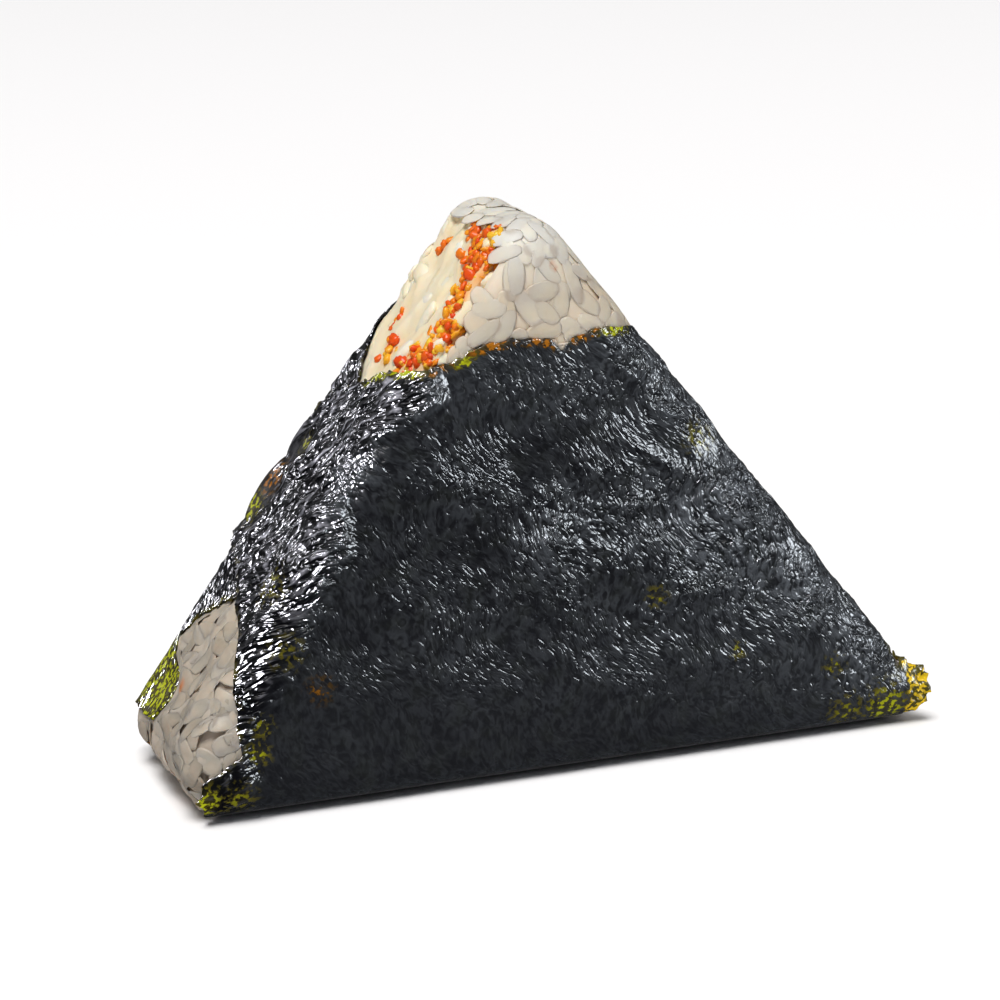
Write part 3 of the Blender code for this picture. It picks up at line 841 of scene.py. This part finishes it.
def rice_outline():
    """Points round the pressed rice's outline in (x, z), and their directions out."""
    points = []
    order = ("left", "right", "tip")
    for index, name in enumerate(order):
        centre, radius, _ = ARCS[name]
        sideways = {"left": (SLOPE + math.pi / 2, 3 * math.pi / 2),
                    "right": (-math.pi / 2, math.pi / 2 - SLOPE),
                    "tip": (math.pi / 2 - SLOPE, math.pi / 2 + SLOPE)}[name]
        angles = np.linspace(*sideways, int(radius * (sideways[1] - sideways[0]) / OUTLINE_STEP) + 2)
        ways = np.stack((np.cos(angles), np.sin(angles)), -1)
        points.append(np.hstack((centre + ways * radius, ways)))
        following = ARCS[order[(index + 1) % 3]]
        start, end = points[-1][-1, :2], following[0] + ways[-1] * following[1]
        count = int(np.linalg.norm(end - start) / OUTLINE_STEP)
        shares = np.linspace(0, 1, count + 1)[1:-1, None]
        line = start + (end - start) * shares
        points.append(np.hstack((line, np.repeat(ways[-1:], len(line), 0))))
    joined = np.vstack(points)
    return joined[:, :2], joined[:, 2:]


def core_rings():
    """Rings of the core from the middle of the back to the middle of the front, and its faces."""
    outline, ways = rice_outline()
    centre = np.array((0, HEIGHT * 0.34))
    shares = [*np.arange(0.018, 0.33, 0.018), 0.40, 0.50, 0.62, 0.76, 0.90]
    half = [(share, CORE_EDGE, 0) for share in shares[::-1]]
    for turn in np.linspace(0, math.pi / 2, 9):
        half.append((0, CORE_EDGE * (1 - math.sin(turn)), CORE_EDGE * (1 - math.cos(turn))))
    rings = []
    for sign, stations in ((1, half), (-1, half[::-1])):
        for share, inset, inner in stations:
            place = outline - ways * min(inset, ARCS["right"][1] - 0.0001)
            place = place + (centre - place) * share
            rings.append(np.stack((place[:, 0], sign * (half_depth(place[:, 1]) - inner), place[:, 1]), -1))
    back, front = rings[len(half) - 1], rings[len(half)]
    between = [back + (front - back) * share for share in np.linspace(0, 1, 31)[1:-1]]
    rings[len(half):len(half)] = between
    points = np.vstack(rings)
    count = len(outline)
    ring, step = np.mgrid[0:len(rings) - 1, 0:count]
    after = (step + 1) % count
    quads = np.stack((ring * count + step, (ring + 1) * count + step, (ring + 1) * count + after,
                      ring * count + after), -1).reshape(-1, 4)
    faces = quads.tolist()
    for first, sign in ((0, 1), (len(points) - count, -1)):
        hub = len(points)
        points = np.vstack((points, (centre[0], sign * half_depth(centre[1]), centre[1])))
        ends = np.arange(count)
        fan = np.stack((first + ends, first + (ends + 1) % count, np.full(count, hub)), -1)
        faces += (fan if sign == 1 else fan[:, ::-1]).tolist()
    return points, faces


# %% [markdown]
# ### Where the filling sits
# The salad fills a slot in the left side. Its place comes from a few sizes, used twice: the core is
# dented to make room for it, and the filling itself is made to fit the dent.

# %% Sizes of the filling
FILLING_FROM = 0.0400
FILLING_TO = 0.0824
FILLING_DEPTH = 0.0110
FILLING_DEPTH_TOP = 0.0030
FILLING_WALL = 0.0013
FILLING_TAPER = 0.0045
END_ROUNDING = 0.12


def mouth_half(along):
    """Half the filling's width where it shows."""
    up = np.clip((along - FILLING_FROM) / (FILLING_TO - FILLING_FROM), 0, 1)
    z = side_point(along, 0, "left")[1]
    return (half_depth(z) - FILLING_WALL) * (1 - END_ROUNDING * (2 * up - 1) ** 4)


def slot_depth(along, y, margin=0.0):
    """How deep the slot for the filling is; nothing outside it."""
    up = np.clip((along - FILLING_FROM) / (FILLING_TO - FILLING_FROM), 0, 1)
    depth = FILLING_DEPTH + up * (FILLING_DEPTH_TOP - FILLING_DEPTH) + margin
    wall = np.clip((mouth_half(along) + margin - np.abs(y)) / FILLING_TAPER, 0, 1)
    ends = smoothstep(FILLING_FROM - margin - 0.0004, FILLING_FROM - margin + 0.0004, along)
    ends = ends * smoothstep(FILLING_TO + margin + 0.0004, FILLING_TO + margin - 0.0004, along)
    return depth * np.sqrt(wall) * ends


# %% Make the core
points, faces = core_rings()
core = new_piece("rice_core", points, faces)
room, covered = room_above(points, mould_rise(points) - CORE_UNDER_GRAINS)
along, inset = side_place(points[:, 0], points[:, 2], "left")
dent = np.where(inset < 0.0060, slot_depth(along, points[:, 1], 0.0003), 0)
dent *= smoothstep(0.0822, 0.0804, along)
rise = np.where(covered | (dent > 0), -CORE_SUNK, room)
points = points + direction_out(points) * rise[:, None]
points[:, 0] += INWARD[0] * dent
points[:, 2] += INWARD[1] * dent
set_points(core, points)
report(core)

# %% [markdown]
# ### Relief
# The core and the filling are both soft and lumpy. One shape tree serves both: it moves a surface in
# and out by two noises, a coarse one for lumps and a fine one for fibres and starch.

# %% A shape tree for lumps
tree, given = new_shape_tree("soft relief", {
    "Lump height": "Float", "Lump size": "Float", "Fine height": "Float", "Fine size": "Float",
    "Material": "Material"})
here = tree.nodes.new("GeometryNodeInputPosition").outputs[0]
lump = noise(tree, here, maths(tree, "DIVIDE", 1.0, given["Lump size"]), 1.0)
fine = noise(tree, here, maths(tree, "DIVIDE", 1.0, given["Fine size"]), 2.0)
height = maths(tree, "ADD", maths(tree, "MULTIPLY", maths(tree, "SUBTRACT", lump, 0.5), given["Lump height"]),
               maths(tree, "MULTIPLY", maths(tree, "SUBTRACT", fine, 0.5), given["Fine height"]))
lift = add(tree, "ShaderNodeVectorMath", {0: tree.nodes.new("GeometryNodeInputNormal").outputs[0],
                                          "Scale": height}, operation="SCALE").outputs[0]
moved = add(tree, "GeometryNodeSetPosition", {"Geometry": given["Geometry"], "Offset": lift})
end_tree(tree, moved.outputs[0], given["Material"])
relief = tree

# %% [markdown]
# ### Scattering
# Grains, shreds and bits of salad are all one small shape repeated over a surface, so one shape
# tree scatters them all: it drops points that keep a distance, sinks each by a random depth, lays
# the shape along a given way with a random turn, and stores a random tone for the finish to read.

# %% A shape tree for scattered food
tree, given = new_shape_tree("scattered food", {
    "Shape": "Object", "Spacing": "Float", "Per square metre": "Float", "Sink least": "Float",
    "Sink most": "Float", "Size least": "Vector", "Size most": "Vector", "Lay along": "Vector",
    "Turn": "Float", "Tilt": "Float", "Seed": "Int", "Material": "Material"})


def random_value(tree, least, most, seed, kind="FLOAT"):
    first, output = {"FLOAT_VECTOR": (0, 0), "FLOAT": (2, 1)}[kind]
    node = add(tree, "FunctionNodeRandomValue", data_type=kind)
    for socket, value in ((first, least), (first + 1, most), (8, seed)):
        if isinstance(value, bpy.types.NodeSocket):
            tree.links.new(value, node.inputs[socket])
        else:
            node.inputs[socket].default_value = value
    return node.outputs[output]


def turned(tree, rotation, axis, angle):
    twist = add(tree, "FunctionNodeAxisAngleToRotation", {"Axis": axis, "Angle": angle})
    return add(tree, "FunctionNodeRotateRotation", {"Rotation": rotation, "Rotate By": twist.outputs[0]},
               rotation_space="LOCAL").outputs[0]


seeds = [maths(tree, "ADD", given["Seed"], float(number)) for number in range(5)]
dots = add(tree, "GeometryNodeDistributePointsOnFaces",
           {"Mesh": given["Geometry"], "Distance Min": given["Spacing"],
            "Density Max": given["Per square metre"], "Density Factor": painted(tree, "spread"),
            "Seed": given["Seed"]}, distribute_method="POISSON")
sink = random_value(tree, given["Sink least"], given["Sink most"], seeds[0])
down = add(tree, "ShaderNodeVectorMath", {0: dots.outputs["Normal"],
                                          "Scale": maths(tree, "MULTIPLY", sink, -1.0)},
           operation="SCALE").outputs[0]
sunk = add(tree, "GeometryNodeSetPosition", {"Geometry": dots.outputs["Points"], "Offset": down})
laid = add(tree, "FunctionNodeAxesToRotation", {0: dots.outputs["Normal"], 1: given["Lay along"]},
           primary_axis="Z", secondary_axis="X").outputs[0]
turn = random_value(tree, maths(tree, "MULTIPLY", given["Turn"], -1.0), given["Turn"], seeds[1])
tilt = random_value(tree, maths(tree, "MULTIPLY", given["Tilt"], -1.0), given["Tilt"], seeds[2])
laid = turned(tree, turned(tree, laid, (0, 0, 1), turn), (0, 1, 0), tilt)
shape = add(tree, "GeometryNodeObjectInfo", {"Object": given["Shape"]}).outputs["Geometry"]
size = random_value(tree, given["Size least"], given["Size most"], seeds[3], "FLOAT_VECTOR")
placed = add(tree, "GeometryNodeInstanceOnPoints", {"Points": sunk.outputs[0], "Instance": shape,
                                                    "Rotation": laid, "Scale": size}).outputs[0]
toned = add(tree, "GeometryNodeStoreNamedAttribute",
            {"Geometry": placed, "Name": "tone", "Value": random_value(tree, 0.0, 1.0, seeds[4])},
            data_type="FLOAT", domain="INSTANCE").outputs[0]
end_tree(tree, toned, given["Material"])
scatter = tree
print("scatter tree:", len(tree.nodes), "nodes")

# %% [markdown]
# ### The finish of rice
# Cooked rice lets light a little way in, so its shadows are warm and soft, and its skin is moist.
# Each grain is a touch whiter or yellower than the next. The colour is also painted lighter at the
# top and darker low down: painted light and painted shade.

# %% Rice material
RICE_TOP_PAINTED_LIGHT = ((0.95, 0.88, 0.76, 1), (0.90, 0.80, 0.66, 1))
RICE_MIDDLE = ((0.81, 0.68, 0.53, 1), (0.72, 0.585, 0.435, 1))
RICE_LOW_PAINTED_SHADE = ((0.55, 0.475, 0.395, 1), (0.31, 0.26, 0.205, 1))
SPOT_ORANGE_BROWN = (0.62, 0.20, 0.06, 1)
# Orange-brown spots: a small one near the tip, one in the window, and two larger ones at the foot of the
# bottom-left corner.
RICE_SPOTS = (((0.0027, -0.0122, 0.0621), 0.0009), ((-0.0425, -0.0011, 0.0130), 0.0013),
              ((-0.0462, -0.0050, 0.0012), 0.0030), ((-0.0462, -0.0100, 0.0008), 0.0024))


def soft_inside(shader, weight, radius_mm, coat):
    """Light scattering under the skin, and a moist film over it."""
    shader.inputs["Subsurface Weight"].default_value = weight
    shader.inputs["Subsurface Radius"].default_value = (1.0, 0.62, 0.38)
    shader.inputs["Subsurface Scale"].default_value = radius_mm / 1000
    shader.inputs["Specular IOR Level"].default_value = 0.35
    shader.inputs["Coat Weight"].default_value = coat
    shader.inputs["Coat Roughness"].default_value = 0.22


rice_finish, tree, shader = new_finish("cooked_rice")
spot = add(tree, "ShaderNodeTexCoord").outputs["Object"]
mottle = remap(tree, noise(tree, spot, 500.0, 3.0), 0.35, 0.7)
tone = maths(tree, "ADD", maths(tree, "MULTIPLY", stored(tree, "tone"), 0.7),
             maths(tree, "MULTIPLY", mottle, 0.4))
up = add(tree, "ShaderNodeSeparateXYZ", {0: spot}).outputs["Z"]
low, middle, high = (blend(tree, tone, *pair) for pair in (RICE_LOW_PAINTED_SHADE, RICE_MIDDLE, RICE_TOP_PAINTED_LIGHT))
# Painted light and shade: the rice is painted darker low down and lighter at the top.
colour = blend(tree, remap(tree, up, 0.008, 0.048), low, middle)
colour = blend(tree, remap(tree, up, 0.0585, 0.0655), colour, high)
for place, reach in RICE_SPOTS:
    away = add(tree, "ShaderNodeVectorMath", {0: spot, 1: place}, operation="DISTANCE").outputs["Value"]
    share = maths(tree, "MULTIPLY", remap(tree, away, reach, 0.4 * reach), remap(tree, mottle, 0.0, 0.6))
    colour = blend(tree, share, colour, SPOT_ORANGE_BROWN)
tree.links.new(colour, shader.inputs["Base Color"])
tree.links.new(remap(tree, mottle, 0.0, 1.0, 0.42, 0.60), shader.inputs["Roughness"])
tree.links.new(bump(tree, noise(tree, spot, 1400.0, 3.0), 0.00008, 0.5), shader.inputs["Normal"])
soft_inside(shader, 0.35, 1.2, 0.0)

# %% Finish the core
run_tree(core, relief, {"Lump height": 0.0004, "Lump size": 0.004, "Fine height": 0.0002,
                        "Fine size": 0.0010, "Material": rice_finish})
points = get_points(core)
hollow = 0.0003 * smoothstep(0.042, 0.030, points[:, 2])
set_points(core, press(points, mould_rise(points) - CORE_UNDER_GRAINS / 2 - hollow))
core.data.shade_smooth()
report(core)

# %% [markdown]
# ### Grains
# A grain of this rice is a plump ellipsoid about twice as long as wide. Two layers are scattered on
# the bare places: a deep one that fills the gaps, and a top one, which is then pressed flat against
# the mould's wall. A grain has few faces, because it is repeated hundreds of times.

# %% One grain
def plump_grain(name, around, rings, blunt, uneven=0.0):
    """An ellipsoid one metre long with slightly blunt ends, to be scaled where it is scattered."""
    rows = np.linspace(0, math.pi, rings + 1)[1:-1]
    turn = np.arange(around) * 2 * math.pi / around
    body = []
    for a in rows:
        for t in turn:
            r = 0.5 * math.sin(a) ** blunt * (1 + uneven * math.sin(3 * t + 4 * a))
            body.append((-0.5 * math.cos(a), r * math.cos(t), r * math.sin(t)))
    points = [(-0.5, 0, 0), *body, (0.5, 0, 0)]
    last = len(points) - 1
    faces = []
    for step in range(around):
        after = (step + 1) % around
        faces.append((0, 1 + after, 1 + step))
        faces.append((last, last - around + step, last - around + after))
        for row in range(rings - 2):
            a = 1 + row * around
            faces.append((a + step, a + after, a + around + after, a + around + step))
    mesh = bpy.data.meshes.new(name)
    mesh.from_pydata(points, [], faces)
    mesh.shade_smooth()
    return bpy.data.objects.new(name, mesh)


grain = plump_grain("grain_shape", 10, 8, 0.66)
print("one grain has", len(grain.data.polygons), "faces")

# %% Where the rice is bare
def bare_bed(lift, reach=0.0022):
    """A surface for grains to lie in: the core's own, without its dent, and how bare it is."""
    points, faces = core_rings()
    bed = new_piece("bed", points, faces)
    free = ~room_above(points, np.full(len(points), 0.003))[1]
    tree = KDTree(int(free.sum()))
    for number, place in enumerate(points[free]):
        tree.insert(place, number)
    tree.balance()
    gap = np.array([0 if is_free else tree.find(place)[2] for place, is_free in zip(points, free)])
    along, inset = side_place(points[:, 0], points[:, 2], "left")
    in_mouth = (inset < 0.0035) & (slot_depth(along, points[:, 1], 0.0004) > 0.0004) & (along < 0.0810)
    paint(bed, "spread", (gap < reach) & ~in_mouth)
    set_points(bed, points + direction_out(points) * (mould_rise(points) * lift)[:, None])
    return bed


def lay_grains(name, lift, seed, spacing, sink, size, tilt, material):
    pile = bare_bed(lift)
    pile.name = name
    run_tree(pile, scatter, {
        "Shape": grain, "Spacing": spacing, "Per square metre": 3e5, "Sink least": sink[0],
        "Sink most": sink[1], "Size least": size[0], "Size most": size[1], "Lay along": (0.0, 0.0, 1.0),
        "Turn": math.pi, "Tilt": tilt, "Seed": seed, "Material": material})
    return pile


deep = lay_grains("grains_deep", 1.0, 5, 0.0021, (0.0009, 0.0013), ((0.0042, 0.0022, 0.0019),
                  (0.0054, 0.0028, 0.0023)), 0.25, rice_finish)
top = lay_grains("grains_top", 1.0, 11, 0.0028, (0.0004, 0.0009), ((0.0046, 0.0024, 0.0020),
                 (0.0060, 0.0030, 0.0025)), 0.16, rice_finish)
for pile in (deep, top):
    report(pile)

# %% Press the grains against the mould and under the nori
for pile in (deep, top):
    points = get_points(pile)
    uneven = 0.00014 + 0.00080 * smoothstep(0.045, 0.030, points[:, 2])
    rise = mould_rise(points) + uneven * ripples(points, 0.0058, 3)
    points = press(points, rise, 0.08)
    points[:, 2] = np.maximum(points[:, 2], 0.00005)
    set_points(pile, points)

# %% [markdown]
# ## The filling
# A creamy salad: pale shreds in a soft dressing, with a chain of orange roe-like crumbs along its
# front edge. As with the rice, a soft body closes the gaps and scattered pieces give the real
# outline. The body is the mapped cube that also made its solid, with many more faces.

# %% The filling's body
FILLING_CUTS = 52
BODY_SUNK = 0.0007


def filling_body():
    import bmesh
    bm = bmesh.new()
    bmesh.ops.create_cube(bm, size=1)
    bmesh.ops.subdivide_edges(bm, edges=bm.edges, cuts=FILLING_CUTS, use_grid_fill=True)
    mesh = bpy.data.meshes.new("filling_body")
    bm.to_mesh(mesh)
    bm.free()
    body = bpy.data.objects.new("filling_body", mesh)
    bpy.context.scene.collection.objects.link(body)
    corner = get_points(body)
    up, across, into = corner[:, 0] + 0.5, corner[:, 1] * 2, corner[:, 2] + 0.5
    along = FILLING_FROM + up * (FILLING_TO - FILLING_FROM)
    depth = FILLING_DEPTH + up * (FILLING_DEPTH_TOP - FILLING_DEPTH)
    y = across * mouth_half(along)
    over = np.maximum(np.abs(y) - (half_depth(side_point(along, 0, "left")[1]) - CORE_EDGE), 0)
    rim = CORE_EDGE - np.sqrt(np.maximum(CORE_EDGE ** 2 - over ** 2, 0))
    mouth = rim - SIDE_INSET + BODY_SUNK
    inset = mouth + into * (depth - mouth)
    half = mouth_half(along) - FILLING_TAPER * (np.maximum(inset, 0) / depth) ** 2
    x, z = side_point(along, inset, "left")
    set_points(body, np.stack((x, across * half, z), -1))
    paint(body, "into", into)
    if body.data.polygons[0].normal @ (body.data.polygons[0].center - Vector(get_points(body).mean(0))) < 0:
        body.data.flip_normals()
    return body


body = filling_body()
report(body)

# %% [markdown]
# ### The finish of the salad
# Dressing is cream-coloured and lets light in, the shreds go from white to peach and egg yellow, and
# the crumbs from red-orange to amber. One function makes all of them from a row of colours, which
# the stored tone picks from.

# %% Salad materials
def food_finish(name, colours, roughness, weight, coat, patch=0.0, grain_scale=900.0):
    material, tree, shader = new_finish(name)
    spot = add(tree, "ShaderNodeTexCoord").outputs["Object"]
    tone = maths(tree, "ADD", maths(tree, "MULTIPLY", stored(tree, "tone"), 1.0 - patch),
                 maths(tree, "MULTIPLY", remap(tree, noise(tree, spot, 260.0, 3.0), 0.3, 0.7), patch))
    ramp = add(tree, "ShaderNodeValToRGB", {0: tone})
    stops = ramp.color_ramp.elements
    for number, (place, colour) in enumerate(colours):
        stop = stops[number] if number < 2 else stops.new(place)
        stop.position = place
        stop.color = (*colour, 1)
    tree.links.new(ramp.outputs[0], shader.inputs["Base Color"])
    rough = remap(tree, noise(tree, spot, 600.0), 0.35, 0.65, roughness * 0.8, roughness * 1.25)
    tree.links.new(rough, shader.inputs["Roughness"])
    tree.links.new(bump(tree, noise(tree, spot, grain_scale, 3.0), 0.00010, 0.6), shader.inputs["Normal"])
    soft_inside(shader, weight, 0.6, coat)
    return material


cream = food_finish("salad_cream", [(0.0, (0.97, 0.87, 0.68)), (0.6, (0.95, 0.79, 0.52)),
                                    (1.0, (0.94, 0.42, 0.12))],
                    0.42, 0.35, 0.03, 0.55)
shred_finish = food_finish("salad_shreds", [(0.0, (0.98, 0.93, 0.82)), (0.5, (0.97, 0.86, 0.66)),
                                            (0.85, (0.96, 0.77, 0.48)), (1.0, (0.93, 0.58, 0.28))],
                           0.38, 0.40, 0.03, 0.3)
crumb_finish = food_finish("orange_crumbs", [(0.0, (0.78, 0.045, 0.008)), (0.35, (0.90, 0.14, 0.010)),
                                             (0.68, (0.97, 0.35, 0.014)), (1.0, (0.98, 0.66, 0.050))],
                           0.30, 0.20, 0.04, 0.15)

# %% Finish the body
run_tree(body, relief, {"Lump height": 0.0015, "Lump size": 0.0032, "Fine height": 0.0005,
                        "Fine size": 0.0009, "Material": cream})
points = get_points(body)
set_points(body, press(points, np.full(len(points), 0.0013), 0.1))
body.data.shade_smooth()
report(body)

# %% [markdown]
# ### Shreds and crumbs
# The chain of crumbs runs down the filling's front edge; the shreds lie along the slot. Both are
# scattered with the same shape tree as the grains. How many fall where comes from a weight painted
# on the body: near the chain, crumbs; elsewhere, shreds and a few loose crumbs.

# %% The chain of crumbs
CHAIN = ((0.0836, -0.0082), (0.0822, -0.0088), (0.0793, -0.0096), (0.0766, -0.0088), (0.0735, -0.0084), (0.0714, -0.0088),
         (0.0682, -0.0098), (0.0650, -0.0098))
LOOSE_SPOTS = (((0.0785, -0.0062), 0.0021), ((0.0813, -0.0012), 0.0014), ((0.0826, -0.0058), 0.0016), ((0.0636, -0.0066), 0.0024),
               ((0.0634, 0.0014), 0.0014), ((0.0669, 0.0049), 0.0009), ((0.0775, 0.0040), 0.0009))


def chain_weight(along, y, reach=1.0):
    """How much a place on the mouth belongs to the chain or to a loose spot of crumbs."""
    route = np.array(CHAIN)
    middle = np.interp(along, route[::-1, 0], route[::-1, 1])
    weight = smoothstep(0.0017 * reach, 0.0010, np.abs(y - middle))
    weight *= (along > 0.0640) & (along < 0.0842)
    for (spot_along, spot_y), radius in LOOSE_SPOTS:
        near = np.exp(-((along - spot_along) ** 2 + (y - spot_y) ** 2) / (radius * reach) ** 2)
        weight = np.maximum(weight, near)
    return weight


def scatter_on_body(name, weight_of, rise, highest, values):
    pile = new_piece(name, get_points(body), [face.vertices for face in body.data.polygons])
    points = get_points(pile)
    along, inset = side_place(points[:, 0], points[:, 2], "left")
    showing = (inset < 0.0012) & (along > 0.0560)
    below_top = smoothstep(highest, highest - 0.0018, along)
    paint(pile, "spread", weight_of(along, points[:, 1]) * showing * below_top)
    run_tree(pile, scatter, values)
    points = get_points(pile)
    set_points(pile, press(points, np.full(len(points), rise), 0.15))
    pile.data.shade_smooth()
    report(pile)
    return pile


points = get_points(body)
along = side_place(points[:, 0], points[:, 2], "left")[0]
paint(body, "tone", chain_weight(along, points[:, 1], 2.0))

shred = plump_grain("shred_shape", 8, 7, 0.60)
crumb = plump_grain("crumb_shape", 10, 7, 0.8, 0.30)
way_up = (float(ALONG[0]), 0.0, float(ALONG[1]))
shreds = scatter_on_body("shreds", lambda along, y: 1 - 0.75 * chain_weight(along, y), 0.0013, 0.0824, {
    "Shape": shred, "Spacing": 0.0022, "Per square metre": 1.4e6, "Sink least": 0.0005,
    "Sink most": 0.0010, "Size least": (0.0030, 0.0016, 0.0010), "Size most": (0.0068, 0.0032, 0.0016),
    "Lay along": way_up, "Turn": 1.2, "Tilt": 0.10, "Seed": 21, "Material": shred_finish})
crumbs = scatter_on_body("crumbs", chain_weight, 0.0018, 0.0840, {
    "Shape": crumb, "Spacing": 0.00046, "Per square metre": 5.0e6, "Sink least": -0.0003,
    "Sink most": 0.0006, "Size least": (0.0006, 0.0005, 0.0005), "Size most": (0.0020, 0.0015, 0.0011),
    "Lay along": way_up, "Turn": math.pi, "Tilt": 1.2, "Seed": 32, "Material": crumb_finish})

# %% [markdown]
# ## Hand every piece to the frame
# Each piece rides on the one body and stands for the solid that it replaces.

# %% Ride and replace
PIECES = ((sheets["front"], "nori", "nori_sheet"), (sheets["back"], "nori", "nori_sheet"),
          (core, "rice", "cooked_rice"), (deep, "rice", "cooked_rice"), (top, "rice", "cooked_rice"),
          (body, "filling", "salad_filling"), (shreds, "filling", "salad_filling"),
          (crumbs, "filling", "salad_filling"))
for piece, node, slot in PIECES:
    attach(piece, "root")
    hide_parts(node)

# %% [markdown]
# ## The studio
# A pale floor, an even pale surround and soft lamps. The nori is dark and glossy, so it shows what
# the lamps look like: a large soft lamp high on the left draws the bright streaks on the left edge,
# and a weaker, cooler one on the right lights the wrinkles of the front. Painted sheen in the nori's
# colour adds to both.

# %% Floor
floor = new_piece("floor", [(-3, -3, 0), (3, -3, 0), (3, 3, 0), (-3, 3, 0)], [(0, 1, 2, 3)])
floor.location.z = -0.0002
floor_finish, tree, shader = new_finish("pale_floor")
shader.inputs["Base Color"].default_value = (0.93, 0.93, 0.94, 1)
shader.inputs["Roughness"].default_value = 0.7
floor.data.materials.append(floor_finish)
floor.visible_glossy = False

# %% Lamps and surround
scene = bpy.context.scene
world = bpy.data.worlds.new("pale surround")
world.use_nodes = True
world.node_tree.nodes["Background"].inputs["Color"].default_value = (0.93, 0.95, 1.0, 1)
world.node_tree.nodes["Background"].inputs["Strength"].default_value = 0.10
scene.world = world
MIDDLE = Vector((0.0, 0.0, 0.030))


def soft_lamp(name, direction, distance, size, power, colour):
    """A square soft lamp that looks at the middle of the ball."""
    light = bpy.data.lights.new(name, "AREA")
    light.size, light.energy, light.color = size, power, colour
    lamp = bpy.data.objects.new(name, light)
    lamp.location = MIDDLE + Vector(direction).normalized() * distance
    lamp.rotation_euler = Vector(direction).to_track_quat("Z", "Y").to_euler()
    scene.collection.objects.link(lamp)
    return lamp


soft_lamp("key", (-0.20, -0.28, 0.93), 5.0, 2.1, 245.0, (1.0, 0.98, 0.96))
glossy_food = bpy.data.collections.new("glossy food")
for sheet in sheets.values():
    glossy_food.objects.link(sheet)
for name, direction, size, power, colour in (
        ("left streaks", (-0.77, 0.10, 0.60), 0.44, 320.0, (0.93, 0.92, 1.0)),
        ("back card", (-0.40, 0.88, 0.35), 0.36, 0.3, (0.93, 0.93, 1.0)),
        ("right card", (0.80, -0.50, 0.38), 0.46, 66.0, (0.88, 0.94, 1.0))):
    lamp = soft_lamp(name, direction, 0.80, size, power, colour)
    lamp.visible_diffuse = False
    lamp.light_linking.receiver_collection = glossy_food

under_food = bpy.data.collections.new("under the food")
under_food.objects.link(floor)
wash = bpy.data.objects.new("floor wash", bpy.data.lights.new("floor wash", "SUN"))
wash.data.energy = 0.8
wash.data.angle = math.radians(60)
wash.light_linking.receiver_collection = under_food
scene.collection.objects.link(wash)

# %% [markdown]
# ## The camera
# A long lens from a little to the left and above, turned slightly, as a small object is usually
# looked at on a table.

# %% Camera
CAMERA_PLACE = Vector((-0.1253, -0.3826, 0.1410))
YAW, LOOK_DOWN, ROLL = (math.radians(angle) for angle in (17.96, 15.30, 2.16))
forward = Vector((math.sin(YAW) * math.cos(LOOK_DOWN), math.cos(YAW) * math.cos(LOOK_DOWN),
                  -math.sin(LOOK_DOWN)))
right = Vector((math.cos(YAW), -math.sin(YAW), 0))
upward = right.cross(forward)
side = right * math.cos(ROLL) - upward * math.sin(ROLL)
above = right * math.sin(ROLL) + upward * math.cos(ROLL)
camera = bpy.data.objects.new("camera", bpy.data.cameras.new("camera"))
camera.data.lens, camera.data.sensor_width = 122.07, 36
camera.data.clip_start, camera.data.clip_end = 0.01, 20
camera.matrix_world = Matrix.Translation(CAMERA_PLACE) @ Matrix((side, above, -forward)).transposed().to_4x4()
scene.collection.objects.link(camera)
scene.camera = camera
scene.view_settings.view_transform = "Standard"

# %% Update the scene
bpy.context.view_layer.update()
